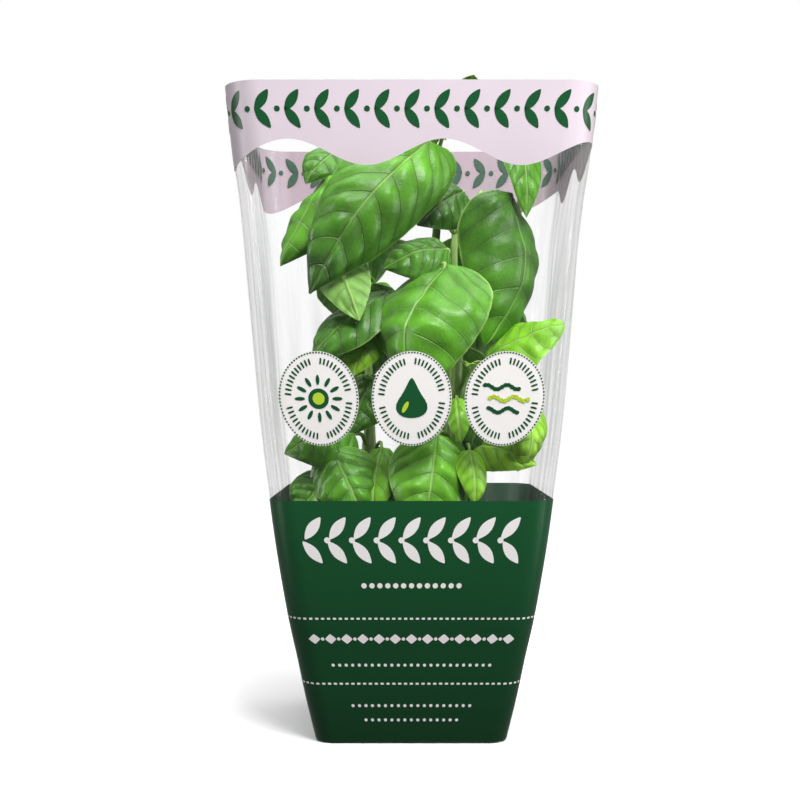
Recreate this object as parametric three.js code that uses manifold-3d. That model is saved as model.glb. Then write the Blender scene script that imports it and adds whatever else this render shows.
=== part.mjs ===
// A living basil plant in a square nursery pot, standing in a tall printed sleeve of clear film.
// Millimetres, +Z up, origin at the middle of the sleeve's foot. -Y is the front, +X is to the right of it.
// The sleeve is one tapered bag with a flat foot. Its ink lies on it as thin skins: a green wrap round the
// pot, a lilac band with a wavy lower edge under the rim, and three oval badges on the front and on the back.
import * as THREE from "three";
import { mergeVertices } from "three/addons/utils/BufferGeometryUtils.js";
import Module from "manifold-3d";

const wasm = await Module();
wasm.setup();

// ---------- Driving dimensions ----------

const SLEEVE_HEIGHT = 300;
const FILM = 0.6; // wall and foot of the sleeve
const INK = 0.5; // thickness of an ink skin
const SEAT_GAP = 0.3; // clearance between pieces that rest on each other
const CORNER_SHARE = 0.195; // corner radius over half width, the same at every height

// Half of the sleeve's width at each height: [height, half width].
const SLEEVE_PROFILE = [
  [0, 44.7],
  [20, 49.2],
  [40, 53.1],
  [58, 56.8],
  [77, 60],
  [96, 62.8],
  [114.5, 65.1],
  [150, 69.2],
  [205, 73.9],
  [250, 77.9],
  [268, 80.3],
  [SLEEVE_HEIGHT, 83.5],
];

const GREEN_WRAP = { low: 2, high: 114.5 };
const LILAC_BAND = { mean: 269, swing: 5.7, waves: 9, firstDip: -20 };
const BADGE = { halfWide: 17.9, halfTall: 21.2, height: 160.6, pitch: 41.6, spokes: 16 };

const POT = {
  foot: FILM + SEAT_GAP,
  halfFoot: 42.5,
  shoulder: 83,
  halfShoulder: 57.4,
  lip: 2, // how far the lip stands out
  lipFlare: 0.4, // how much further it stands out at its top
  rim: 89,
  wall: 1.3,
  drainRadius: 4,
  drainOffset: 22,
};
const SOIL = {
  top: 79,
  dome: 1.8,
  domeRings: [[0.7, 0.7], [0.3, 1]], // shares of the half width and of the dome's height
  footGap: 0.4,
};
const STEM = {
  foot: 55, // the height of its lower end, deep in the soil
  straightTo: SOIL.top + 4, // it stands upright in its hole up to this height
  holePlay: 0.8,
  sides: 6,
  steps: 7,
};
// Leaf stalk: its radii at the stem and at the blade, the place of its bend behind the blade and towards the
// stem as shares of its reach, and where it enters the midrib as a share of the leaf's length.
const STALK = { foot: 1.4, top: 0.9, behind: 0.25, towardsStem: 0.3, entersAt: 0.1, sides: 4, steps: 3 };

// Leaf blade: thickness, its clearance to the film, how far its halves reach back past the stalk as a share of
// its length, and the width under which a leaf has fewer cells.
const BLADE = { thick: 0.8, filmGap: 1.5, heart: 0.06, smallWidth: 31 };
// Habit of the leaves that are drawn at random: ranges of their sizes and angles, the width over the length,
// the length under which none is kept, and the step by which a leaf is shortened until it fits.
const HABIT = {
  long: [44, 60],
  droop: [28, 62],
  stalk: [8, 17],
  arch: [0.12, 0.2],
  cup: [0.6, 0.95],
  wave: [0.8, 1.8],
  turnPlay: 12,
  joinPlay: 4,
  wideShare: 0.8,
  shortest: 24,
  shorten: 2,
};
// Young leaves at a stem's top: how steeply the lowest pair rises, how much steeper and shorter the next is.
const TUFT = { rise: 20, steeper: 28, shorter: 0.22, wideShare: 0.62, arch: 0.2, cup: -0.7, wave: 0.2 };
const BIG_GRID = { along: 5, across: 4 };
const SMALL_GRID = { along: 4, across: 2 };
const TUFT_GRID = { along: 3, across: 2 };

// ---------- Materials ----------

const paint = (color, roughness, extra = {}) =>
  new THREE.MeshStandardMaterial({ color, roughness, metalness: 0, ...extra });

const clearFilm = paint(0xf2f4f4, 0.08, { transparent: true, opacity: 0.25, side: THREE.DoubleSide });
const greenInk = paint(0x1b4f2f, 0.4);
const lilacInk = paint(0xe2d4de, 0.4);
const whiteInk = paint(0xe9e6e5, 0.4);
const potPlastic = paint(0x23272a, 0.55);
const soilEarth = paint(0x3a2a1e, 1);
const leafGreen = paint(0x4f9a35, 0.4);

// ---------- Rounded-square outline and the sleeve's surface ----------

const PERIMETER = 8 * (1 - CORNER_SHARE) + 2 * Math.PI * CORNER_SHARE; // of an outline of half width 1

// Point and outward normal on the outline of half width 1, at a share of its perimeter that starts at the
// middle of the front and runs round to the right.
function outlineAt(share) {
  const quarter = PERIMETER / 4;
  let run = (((share % 1) + 1) % 1) * PERIMETER + quarter / 2; // from the front-left corner's middle
  const side = Math.floor(run / quarter);
  run -= side * quarter;
  const arc = (Math.PI / 4) * CORNER_SHARE;
  const flat = 1 - CORNER_SHARE;
  let x, y, nx, ny;
  if (run < arc || run > quarter - arc) {
    const atEnd = run > quarter - arc;
    const turn = (atEnd ? run - (quarter - arc) : run - arc) / CORNER_SHARE;
    nx = Math.sin(turn);
    ny = -Math.cos(turn);
    x = (atEnd ? flat : -flat) + CORNER_SHARE * nx;
    y = -flat + CORNER_SHARE * ny;
  } else {
    x = -flat + (run - arc);
    y = -1;
    nx = 0;
    ny = -1;
  }
  const turn = (side * Math.PI) / 2;
  const c = Math.cos(turn);
  const s = Math.sin(turn);
  return { x: x * c - y * s, y: x * s + y * c, nx: nx * c - ny * s, ny: nx * s + ny * c };
}

// Half width at a height, by a smooth curve through the stations of the profile.
function halfWidthAt(z) {
  const last = SLEEVE_PROFILE.length - 1;
  let i = 0;
  while (i < last - 1 && z > SLEEVE_PROFILE[i + 1][0]) i += 1;
  const slope = (k) => {
    const a = SLEEVE_PROFILE[Math.max(k - 1, 0)];
    const b = SLEEVE_PROFILE[Math.min(k + 1, last)];
    return (b[1] - a[1]) / (b[0] - a[0]);
  };
  const [z0, w0] = SLEEVE_PROFILE[i];
  const [z1, w1] = SLEEVE_PROFILE[i + 1];
  const span = z1 - z0;
  const t = (z - z0) / span;
  const t2 = t * t;
  const t3 = t2 * t;
  return (
    (2 * t3 - 3 * t2 + 1) * w0 +
    (t3 - 2 * t2 + t) * span * slope(i) +
    (3 * t2 - 2 * t3) * w1 +
    (t3 - t2) * span * slope(i + 1)
  );
}

// Shares of the perimeter for a ring of columns: every corner in three steps, every flat in flatSteps.
function columnShares(flatSteps) {
  const arcSteps = 3;
  const arc = (Math.PI / 2) * CORNER_SHARE;
  const flat = 2 * (1 - CORNER_SHARE);
  const shares = [];
  for (let side = 0; side < 4; side += 1) {
    const start = side * (PERIMETER / 4) - flat / 2;
    for (let i = 0; i < flatSteps; i += 1) shares.push((start + (flat * i) / flatSteps) / PERIMETER);
    for (let i = 0; i < arcSteps; i += 1) shares.push((start + flat + (arc * i) / arcSteps) / PERIMETER);
  }
  return shares;
}

// Point of the sleeve's outer face at a share of the perimeter and a height, moved outwards by out.
function sleevePoint(share, z, out = 0) {
  const o = outlineAt(share);
  const half = halfWidthAt(z);
  return new THREE.Vector3(o.x * half + o.nx * out, o.y * half + o.ny * out, z);
}

// ---------- Closed meshes from rows of points ----------

// Joins rows of points, each a closed ring of the same length, into one skin. The first and last rows are
// capped from their middles, or, where looped is true, joined to each other.
function ringsToGeometry(rings, looped = false) {
  const count = rings[0].length;
  const points = rings.flat();
  const index = [];
  const rows = looped ? rings.length : rings.length - 1;
  for (let r = 0; r < rows; r += 1) {
    const a = r * count;
    const b = ((r + 1) % rings.length) * count;
    for (let i = 0; i < count; i += 1) {
      const j = (i + 1) % count;
      index.push(a + i, a + j, b + j, a + i, b + j, b + i);
    }
  }
  if (!looped) {
    [0, rings.length - 1].forEach((r, end) => {
      const middle = points.length;
      const sum = rings[r].reduce((m, p) => m.add(p), new THREE.Vector3());
      points.push(sum.divideScalar(count));
      for (let i = 0; i < count; i += 1) {
        const a = r * count + i;
        const b = r * count + ((i + 1) % count);
        index.push(middle, ...(end ? [a, b] : [b, a]));
      }
    });
  }
  return new THREE.BufferGeometry().setFromPoints(points).setIndex(index);
}

// Rounded-square rings from [height, half width] pairs, bottom to top.
function squareRings(stations, flatSteps = 1) {
  const shares = columnShares(flatSteps);
  return stations.map(([z, half]) =>
    shares.map((share) => {
      const o = outlineAt(share);
      return new THREE.Vector3(o.x * half, o.y * half, z);
    }),
  );
}

// ---------- Solids for cutting and joining ----------

function toSolid(geometry) {
  const g = geometry.clone();
  g.deleteAttribute("normal");
  g.deleteAttribute("uv");
  const merged = mergeVertices(g, 1e-4);
  return new wasm.Manifold(
    new wasm.Mesh({
      numProp: 3,
      vertProperties: new Float32Array(merged.getAttribute("position").array),
      triVerts: new Uint32Array(merged.index.array),
    }),
  );
}

// Pockets that leaves close off between them are filled, so every piece has one skin. Slivers are smoothed
// away up to a tolerance that is far thinner than a blade.
function toGeometry(solid) {
  const tolerance = 0.1;
  const skins = solid.simplify(tolerance).decompose().filter((skin) => skin.volume() > 0);
  const outer = skins.reduce((a, b) => (a.volume() > b.volume() ? a : b));
  const { vertProperties, triVerts } = outer.getMesh();
  return new THREE.BufferGeometry()
    .setAttribute("position", new THREE.BufferAttribute(vertProperties, 3))
    .setIndex(new THREE.BufferAttribute(triVerts, 1));
}

function uprightCylinder(x, y, low, high, radius, sides) {
  return new THREE.CylinderGeometry(radius, radius, high - low, sides)
    .rotateX(Math.PI / 2)
    .translate(x, y, (low + high) / 2);
}

// Repeatable random numbers from 0 to 1.
function seededRandom(seed) {
  let state = seed;
  return () => {
    state = (state * 1664525 + 1013904223) % 4294967296;
    return state / 4294967296;
  };
}

const plant = new THREE.Group();

function addPiece(name, geometry, material) {
  const mesh = new THREE.Mesh(geometry, material);
  mesh.name = name;
  plant.add(mesh);
}

// ---------- The sleeve and its ink ----------

function sleeveGeometry() {
  const outer = SLEEVE_PROFILE;
  const inner = SLEEVE_PROFILE.map(([z, half]) => [z === 0 ? FILM : z, half - FILM]).reverse();
  return ringsToGeometry(squareRings([...outer, ...inner]));
}

// A skin all round the sleeve between two edges, each a height for a share of the perimeter.
function skinGeometry(flatSteps, lowEdge, highEdge, between) {
  const shares = columnShares(flatSteps);
  const row = (height, out) => shares.map((share) => sleevePoint(share, height(share), out));
  const heights = [lowEdge, ...between.map((z) => () => z), highEdge];
  const outside = heights.map((height) => row(height, SEAT_GAP + INK));
  const inside = heights.map((height) => row(height, SEAT_GAP)).reverse();
  return ringsToGeometry([...outside, ...inside], true);
}

function greenWrapGeometry() {
  const between = SLEEVE_PROFILE.map(([z]) => z).filter((z) => z > GREEN_WRAP.low && z < GREEN_WRAP.high);
  return skinGeometry(1, () => GREEN_WRAP.low, () => GREEN_WRAP.high, between);
}

// The band's lower edge dips once a wave, with its first dip left of the front's middle.
function bandEdge(share) {
  const length = PERIMETER * halfWidthAt(LILAC_BAND.mean);
  const phase = 2 * Math.PI * LILAC_BAND.waves * (share - LILAC_BAND.firstDip / length);
  return LILAC_BAND.mean - LILAC_BAND.swing * Math.cos(phase);
}

// An oval laid on the sleeve, its middle at a run of millimetres from the middle of a side.
function badgeGeometry(side, run) {
  const place = (share, z, out) => sleevePoint(side / 4 + share, z, out);
  const ring = (scale, out) =>
    Array.from({ length: BADGE.spokes }, (_, i) => {
      const turn = (2 * Math.PI * i) / BADGE.spokes;
      const z = BADGE.height + BADGE.halfTall * scale * Math.sin(turn);
      const along = run + BADGE.halfWide * scale * Math.cos(turn);
      return place(along / (PERIMETER * halfWidthAt(z)), z, out);
    });
  const low = SEAT_GAP;
  const high = SEAT_GAP + INK;
  return ringsToGeometry([ring(0.5, low), ring(1, low), ring(1, high), ring(0.5, high)]);
}

addPiece("film_sleeve", sleeveGeometry(), clearFilm);
addPiece("green_print", greenWrapGeometry(), greenInk);
addPiece("lilac_print", skinGeometry(12, bandEdge, () => SLEEVE_HEIGHT, []), lilacInk);
for (const [face, side] of [["front", 0], ["back", 2]]) {
  for (const [place, step] of [["left", -1], ["middle", 0], ["right", 1]]) {
    addPiece(`badge_${face}_${place}`, badgeGeometry(side, step * BADGE.pitch), whiteInk);
  }
}

// ---------- Pot and soil ----------

const potSlope = (POT.halfShoulder - POT.halfFoot) / (POT.shoulder - POT.foot);
const potInside = (z) => POT.halfFoot + potSlope * (z - POT.foot) - POT.wall;

function potGeometry() {
  const floor = POT.foot + POT.wall;
  const rings = squareRings([
    [POT.foot, POT.halfFoot],
    [POT.shoulder, POT.halfShoulder],
    [POT.shoulder + SEAT_GAP, POT.halfShoulder + POT.lip],
    [POT.rim, POT.halfShoulder + POT.lip + POT.lipFlare],
    [POT.rim, POT.halfShoulder + POT.lip + POT.lipFlare - POT.wall],
    [POT.shoulder, potInside(POT.shoulder)],
    [floor, potInside(floor)],
  ]);
  let pot = toSolid(ringsToGeometry(rings));
  for (const x of [-1, 1]) {
    for (const y of [-1, 1]) {
      const at = [x * POT.drainOffset, y * POT.drainOffset];
      pot = pot.subtract(toSolid(uprightCylinder(...at, 0, floor + 1, POT.drainRadius, 12)));
    }
  }
  return toGeometry(pot);
}

function soilGeometry(stems) {
  const foot = POT.foot + POT.wall + SOIL.footGap;
  const rings = squareRings([
    [foot, potInside(foot) - SEAT_GAP],
    [SOIL.top, potInside(SOIL.top) - SEAT_GAP],
    ...SOIL.domeRings.map(([share, rise]) => [SOIL.top + SOIL.dome * rise, potInside(SOIL.top) * share]),
  ]);
  let soil = toSolid(ringsToGeometry(rings));
  for (const { route, thick } of stems) {
    const [x, y] = route[0];
    const radius = thick[0] + STEM.holePlay;
    const hole = uprightCylinder(x, y, STEM.foot - SEAT_GAP, POT.rim, radius, 10);
    soil = soil.subtract(toSolid(hole));
  }
  return toGeometry(soil);
}

// ---------- Stems, leaf stalks and leaves ----------

// A round shaft along a curve whose radius runs from one value to another.
function shaftGeometry(curve, from, to, sides, steps) {
  const frames = curve.computeFrenetFrames(steps, false);
  const rings = [];
  for (let i = 0; i <= steps; i += 1) {
    const middle = curve.getPointAt(i / steps);
    const radius = from + ((to - from) * i) / steps;
    const ring = [];
    for (let k = 0; k < sides; k += 1) {
      const turn = (2 * Math.PI * k) / sides;
      ring.push(
        middle
          .clone()
          .addScaledVector(frames.normals[i], radius * Math.cos(turn))
          .addScaledVector(frames.binormals[i], radius * Math.sin(turn)),
      );
    }
    rings.push(ring);
  }
  return ringsToGeometry(rings);
}

// Share of a leaf's full width at a share s of its length: rounded at the stalk, pointed at the tip.
function ovate(s) {
  const shape = s ** 0.6 * (1 - s) ** 0.92;
  const most = 0.3947 ** 0.6 * 0.6053 ** 0.92;
  return Math.max(shape / most, 0.07);
}

// Midrib point at s, and the three directions of a leaf: along it, across it and out of its upper face.
function leafFrame(leaf) {
  const base = new THREE.Vector3(...leaf.base);
  const chord = new THREE.Vector3(...leaf.tip).sub(base);
  const long = chord.length();
  const along = chord.clone().normalize();
  const out = new THREE.Vector3(...leaf.face);
  out.addScaledVector(along, -out.dot(along)).normalize();
  const across = new THREE.Vector3().crossVectors(along, out);
  return { base, chord, long, along, across, out };
}

// Upper face of a leaf at s along it and t across it, from -1 to 1. The midrib is arched and may bow sideways,
// the two halves roll back from it round an arc of the cup angle and reach back past the stalk, and the edges
// are waved. A leaf whose late value is over 1 is widest nearer its tip.
function leafPoint(leaf, frame, s, t) {
  const { arch, cup, wave, bend = 0, heart = BLADE.heart, late = 1 } = leaf;
  const half = (leaf.wide / 2) * ovate(s ** late);
  const roll = cup * t;
  const sideways = (half * Math.sin(roll)) / cup + bend * frame.long * Math.sin(Math.PI * s);
  const lift = arch * frame.long * 4 * s * (1 - s) * (0.7 + 0.6 * s);
  const drop = (half * (1 - Math.cos(roll))) / cup;
  const ripple = wave * t * t * Math.sin(2 * Math.PI * (1.6 * s + 0.25 * Math.sign(t))) * ovate(s);
  return frame.base
    .clone()
    .addScaledVector(frame.chord, s - heart * t * t * (1 - s) ** 2)
    .addScaledVector(frame.across, sideways)
    .addScaledVector(frame.out, lift - drop + ripple);
}

// The blade as a slab: the same grid of triangles on its upper and its lower face, and a rim between them.
function bladeGeometry(leaf) {
  const frame = leafFrame(leaf);
  const at = (s, t) => leafPoint(leaf, frame, s, t);
  const { along, across } = leaf.grid ?? (leaf.wide < BLADE.smallWidth ? SMALL_GRID : BIG_GRID);
  const upper = [];
  const lower = [];
  const step = 1e-3;
  for (let i = 0; i <= along; i += 1) {
    for (let j = 0; j <= across; j += 1) {
      const s = i / along;
      const t = (2 * j) / across - 1;
      const p = at(s, t);
      const ds = at(Math.min(s + step, 1), t).sub(at(Math.max(s - step, 0), t));
      const dt = at(s, t + step).sub(at(s, t - step));
      const normal = new THREE.Vector3().crossVectors(dt, ds).normalize();
      upper.push(p);
      lower.push(p.clone().addScaledVector(normal, -BLADE.thick));
    }
  }
  const row = across + 1;
  const under = upper.length;
  const index = [];
  for (let i = 0; i < along; i += 1) {
    for (let j = 0; j < across; j += 1) {
      const a = i * row + j;
      const [b, c, d] = [a + 1, a + row + 1, a + row];
      index.push(a, b, c, a, c, d);
      index.push(under + a, under + c, under + b, under + a, under + d, under + c);
    }
  }
  const rim = [];
  for (let j = 0; j < across; j += 1) rim.push(j);
  for (let i = 0; i < along; i += 1) rim.push(i * row + across);
  for (let j = across; j > 0; j -= 1) rim.push(along * row + j);
  for (let i = along; i > 0; i -= 1) rim.push(i * row);
  rim.forEach((a, k) => {
    const b = rim[(k + 1) % rim.length];
    index.push(a, under + a, under + b, a, under + b, b);
  });
  return new THREE.BufferGeometry().setFromPoints([...upper, ...lower]).setIndex(index);
}

// The stalk leaves the stem at the leaf's joining height and runs into the start of the midrib.
function stalkGeometry(leaf, stem) {
  const frame = leafFrame(leaf);
  const start = pointAtHeight(stem, leaf.joins);
  const into = leafPoint(leaf, frame, STALK.entersAt, 0).addScaledVector(frame.out, -BLADE.thick / 2);
  const lead = frame.base.clone().addScaledVector(frame.out, -BLADE.thick / 2);
  const reach = lead.distanceTo(start);
  const bend = lead.clone().addScaledVector(frame.along, -reach * STALK.behind);
  bend.lerp(start, STALK.towardsStem);
  const curve = new THREE.CatmullRomCurve3([start, bend, lead, into]);
  return shaftGeometry(curve, STALK.foot, STALK.top, STALK.sides, STALK.steps);
}

function pointAtHeight(stem, height) {
  const steps = 200;
  for (let i = 0; i <= steps; i += 1) {
    const p = stem.curve.getPointAt(i / steps);
    if (p.z >= height) return p;
  }
  return stem.curve.getPointAt(1);
}

// A leaf that stands out from its stem at an azimuth, counted from +X round to +Y. Its stalk rises and its
// blade then falls by the droop angle.
function leafOutwards(stem, { joins, azimuth, long, wide, droop, stalk, ...form }) {
  const turn = THREE.MathUtils.degToRad(azimuth);
  const fall = THREE.MathUtils.degToRad(droop);
  const outwards = new THREE.Vector3(Math.cos(turn), Math.sin(turn), 0);
  const up = new THREE.Vector3(0, 0, 1);
  const base = pointAtHeight(stem, joins).addScaledVector(outwards, stalk).addScaledVector(up, stalk * 0.6);
  const tip = base
    .clone()
    .addScaledVector(outwards, long * Math.cos(fall))
    .addScaledVector(up, -long * Math.sin(fall));
  const face = outwards.multiplyScalar(Math.sin(fall)).addScaledVector(up, Math.cos(fall));
  return { base: base.toArray(), tip: tip.toArray(), face: face.toArray(), wide, joins, ...form };
}

// Whether a leaf keeps inside the film, over the soil and in its stem's own quarter of the sleeve. The side is
// 1 on the right and -1 on the left.
function leafFits(leaf, side) {
  const frame = leafFrame(leaf);
  for (const s of [0, 0.25, 0.45, 0.7, 1]) {
    for (const t of [-1, 0, 1]) {
      const p = leafPoint(leaf, frame, s, t);
      const room = halfWidthAt(p.z) - FILM - BLADE.filmGap;
      const corner = Math.abs(p.x) + Math.abs(p.y) > room * (2 - CORNER_SHARE * 0.6);
      if (Math.abs(p.x) > room || Math.abs(p.y) > room || corner) return false;
      if (p.z < SOIL.top + 5 || p.x * side < 1.5 || p.y < 5) return false;
    }
  }
  return true;
}

// Leaves up a stem behind the plant's middle, in pairs that turn by turn look outwards and to the side.
// Each is drawn at random within the habit of basil and shortened until it fits.
function bushLeaves(stem) {
  const { from, to, pairs, side, seed } = stem.bush;
  const random = seededRandom(seed);
  const between = ([low, high]) => low + (high - low) * random();
  const nudge = (most) => between([-most, most]);
  const leaves = [];
  for (let pair = 0; pair < pairs; pair += 1) {
    const joins = from + ((to - from) * pair) / (pairs - 1);
    const swing = pair % 2 ? [95, 40] : [70, 120];
    for (const away of swing) {
      const wish = {
        azimuth: 90 + side * (90 - away) + nudge(HABIT.turnPlay),
        joins: joins + nudge(HABIT.joinPlay),
        long: between(HABIT.long),
        droop: between(HABIT.droop),
        stalk: between(HABIT.stalk),
        arch: between(HABIT.arch),
        cup: between(HABIT.cup),
        wave: between(HABIT.wave),
      };
      let leaf;
      do {
        wish.long -= HABIT.shorten;
        wish.wide = wish.long * HABIT.wideShare;
        leaf = leafOutwards(stem, wish);
      } while (!leafFits(leaf, side) && wish.long > HABIT.shortest);
      if (leafFits(leaf, side)) leaves.push(leaf);
    }
  }
  return leaves;
}

// The tuft of young leaves at a stem's top, in pairs that are turned a quarter from each other.
function tuftLeaves(stem) {
  const { size, pairs, turn } = stem.tuft;
  const top = stem.curve.getPointAt(1);
  const leaves = [];
  for (let pair = 0; pair < pairs; pair += 1) {
    for (const side of [0, 180]) {
      const azimuth = THREE.MathUtils.degToRad(turn + side + 90 * pair);
      const rise = THREE.MathUtils.degToRad(TUFT.rise + TUFT.steeper * pair);
      const long = size * (1 - TUFT.shorter * pair);
      const outwards = new THREE.Vector3(Math.cos(azimuth), Math.sin(azimuth), 0);
      const tip = top
        .clone()
        .addScaledVector(outwards, long * Math.cos(rise))
        .setZ(top.z + long * Math.sin(rise));
      const face = outwards.multiplyScalar(-Math.sin(rise)).setZ(Math.cos(rise));
      leaves.push({
        base: top.toArray(),
        tip: tip.toArray(),
        face: face.toArray(),
        wide: long * TUFT.wideShare,
        arch: TUFT.arch,
        cup: TUFT.cup,
        wave: TUFT.wave,
        grid: TUFT_GRID,
      });
    }
  }
  return leaves;
}

// Every leafy stem: the points that it runs through, its radius at foot and top, and its leaves. A leaf has
// the ends of its midrib, the side that its upper face looks to, its width across the flat blade, how far the
// midrib arches as a share of its length, the angle that each half rolls back, the depth of its edge waves,
// the height at which its stalk joins the stem and, where they aren't the usual ones, bend, heart and late.
const placed = (base, tip, face, wide, arch, cup, wave, joins, shape = {}) => ({
  base, tip, face, wide, arch, cup, wave, joins, ...shape,
});

const STEMS = [
  {
    name: "leafy_stem_tall",
    route: [[-6, -8], [-2, -10, 130], [5, -13, 195], [12, -15, 236], [13, -22, 264], [11, -30, 282]],
    thick: [3, 1.7],
    leaves: [
      placed(
        [8.7, -39.7, 282], [-46.7, -56.7, 208.6], [-0.06, -1, -0.05],
        60, 0.12, 1.2, 1.4, 276, { bend: 0.05, heart: 0.16, late: 0.81 },
      ),
      placed(
        [-37, -31.4, 272], [-61.3, -42.8, 222.7], [-0.57, -0.56, 0.6],
        47, 0.07, 1.3, 1.2, 252, { bend: -0.05, heart: 0.1, late: 1.15 },
      ),
      placed([-30, -20, 283], [-50, -37, 262], [-0.3, -0.9, 0.3], 26, 0.15, 0.5, 0.8, 257),
      placed([-36, -39, 231], [-24, -55, 196.5], [0.05, -0.88, 0.42], 23, 0.1, 0.4, 1, 232),
      placed([26, -10, 263], [3, -25, 244], [-0.3, -0.8, -0.1], 31, 0.1, 0.5, 1, 248),
      placed([-14, -4, 162], [-50, 1, 142], [-0.2, 0.3, 0.9], 30, 0.15, 0.7, 1.4, 154),
      placed([16, -38, 287], [28, -66, 306.5], [0, 0.35, 0.9], 24, 0.1, 0.5, 0.8, 274),
    ],
    tuft: { size: 13, pairs: 2, turn: 60 },
  },
  {
    name: "leafy_stem_right",
    route: [[17, -2], [22, -3, 130], [25, -4, 195], [34, -7, 232], [53, -10, 253], [54, -10, 290]],
    thick: [3, 1.7],
    leaves: [
      placed([50, -14, 296], [55, -31, 247], [0.3, -0.9, 0.15], 21, 0.12, 0.6, 1, 284),
      placed(
        [48, -26.4, 259.4], [34.5, -35, 185.3], [0.69, -0.51, 0.52],
        69, 0.14, 1.35, 1.2, 246, { bend: -0.08, heart: 0.05, late: 1.04 },
      ),
      placed([38, -16, 258], [53, -20, 206], [0.45, -0.8, 0.35], 38, 0.12, 0.7, 1.4, 250),
      placed([34, -1, 222], [60, 2, 190], [0.7, 0.1, 0.6], 30, 0.15, 0.7, 1.4, 212),
      placed([32, -4, 172], [60, -2, 150], [0.5, -0.1, 0.8], 28, 0.15, 0.7, 1.2, 162),
      placed([34, -18, 252], [34, -20, 262], [-0.2, -0.9, 0.3], 6.5, 0.1, 0.4, 0.2, 246),
    ],
    tuft: { size: 12, pairs: 2, turn: 20 },
  },
  {
    name: "leafy_stem_middle",
    route: [[2, -24], [3, -28, 130], [4, -33, 180], [6, -36, 207], [13, -38, 219]],
    thick: [2.8, 1.6],
    leaves: [
      placed(
        [16.3, -47.4, 223.2], [4.6, -59.8, 162.3], [-0.4, -0.66, 0.64],
        73, 0.24, 1.12, 1.2, 205, { bend: 0.07, heart: 0.05, late: 1.02 },
      ),
      placed([17, -39, 231.5], [-13, -47, 221], [0.05, -0.82, 0.56], 30, 0.14, 0.8, 0.8, 217),
      placed([-11, -37, 211], [-47, -50, 175], [-0.45, -0.72, 0.52], 34, 0.14, 0.8, 1, 202),
      placed([-19, -36, 197], [-27, -47, 171], [0.05, -0.8, 0.6], 20, 0.1, 0.5, 0.8, 186),
    ],
    tuft: { size: 8, pairs: 1, turn: 100 },
  },
  {
    name: "leafy_stem_low_left",
    route: [[-20, -14], [-22, -18, 110], [-21, -22, 145], [-19, -22, 168]],
    thick: [2.5, 1.5],
    leaves: [
      placed([-18, -23, 172], [-29, -36, 143], [-0.2, -0.9, 0.35], 31, 0.1, 0.6, 1, 162),
      placed([-27, -36, 144.5], [-59, -47, 135], [-0.1, -0.75, 0.65], 36, 0.15, 0.8, 1.2, 138),
      placed([-37, -47, 137], [-22, -57, 105], [0.1, -0.95, 0.2], 34, 0.12, 0.7, 1, 124),
      placed([-38, -50, 121], [-51, -53, 104], [-0.2, -0.9, 0.3], 27, 0.12, 0.6, 0.8, 106),
      placed([-31, -12, 112], [-57, -8, 99], [-0.3, 0, 0.9], 24, 0.12, 0.7, 1, 106),
      placed([-14, -43, 138], [-17, -56, 104], [-0.35, -0.9, 0.1], 19, 0.1, 0.7, 0.6, 126),
    ],
    tuft: { size: 9, pairs: 1, turn: 40 },
  },
  {
    name: "leafy_stem_low_right",
    route: [[20, -16], [23, -22, 105], [24, -32, 137], [24, -37, 158], [28, -41, 172]],
    thick: [2.5, 1.5],
    leaves: [
      placed(
        [36, -34.4, 180], [71, -46, 195.5], [0.01, -0.66, 0.75],
        46, 0.1, 0.8, 2.5, 164, { bend: 0.04, heart: 0.2, late: 0.76 },
      ),
      placed([25, -42, 137], [54, -52, 130], [0, -0.6, 0.8], 19, 0.1, 0.8, 0.6, 132),
      placed([55, -42, 162], [49, -51, 127], [0.65, -0.65, 0.3], 28, 0.2, 0.6, 0.8, 146),
      placed([27, -51, 137], [29, -58, 112], [0.3, -0.9, 0.3], 16, 0.14, 0.7, 0.6, 126),
      placed([21, -44, 161], [23, -52, 140], [-0.1, -0.95, 0.2], 12, 0.14, 0.6, 0.5, 150),
      placed([31, -38, 162], [27, -46, 135], [0.1, -0.95, 0.2], 21, 0.12, 0.6, 0.8, 148),
      placed([32, -14, 110], [58, -8, 99], [0.3, 0, 0.9], 24, 0.12, 0.7, 1, 104),
      placed([12, -49, 144], [5, -61, 99], [0.1, -0.95, 0.2], 44, 0.12, 0.8, 1.2, 130),
    ],
    tuft: { size: 11, pairs: 2, turn: 75 },
  },
  {
    name: "leafy_stem_back_left",
    route: [[-16, 16], [-19, 20, 120], [-22, 22, 190], [-24, 22, 256]],
    thick: [2.8, 1.5],
    bush: { from: 102, to: 248, pairs: 6, side: -1, seed: 62 },
    tuft: { size: 15, pairs: 2, turn: 30 },
  },
  {
    name: "leafy_stem_back_right",
    route: [[15, 17], [18, 21, 120], [23, 24, 190], [23, 26, 246]],
    thick: [2.8, 1.5],
    bush: { from: 100, to: 238, pairs: 6, side: 1, seed: 16 },
    tuft: { size: 14, pairs: 2, turn: 10 },
  },
];

for (const stem of STEMS) {
  const [[x, y], ...rest] = stem.route;
  const upright = [STEM.foot, (STEM.foot + STEM.straightTo) / 2, STEM.straightTo];
  stem.route = [...upright.map((z) => [x, y, z]), ...rest];
  stem.curve = new THREE.CatmullRomCurve3(stem.route.map((p) => new THREE.Vector3(...p)));
  stem.leaves ??= bushLeaves(stem);
}

// A leafy stem is one body: stem, stalks, leaves and tuft grow out of each other.
function leafyStemGeometry(stem) {
  const [foot, top] = stem.thick;
  let body = toSolid(shaftGeometry(stem.curve, foot, top, STEM.sides, STEM.steps));
  for (const leaf of stem.leaves) {
    body = body.add(toSolid(bladeGeometry(leaf)));
    body = body.add(toSolid(stalkGeometry(leaf, stem)));
  }
  for (const leaf of tuftLeaves(stem)) body = body.add(toSolid(bladeGeometry(leaf)));
  return toGeometry(body);
}

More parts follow.
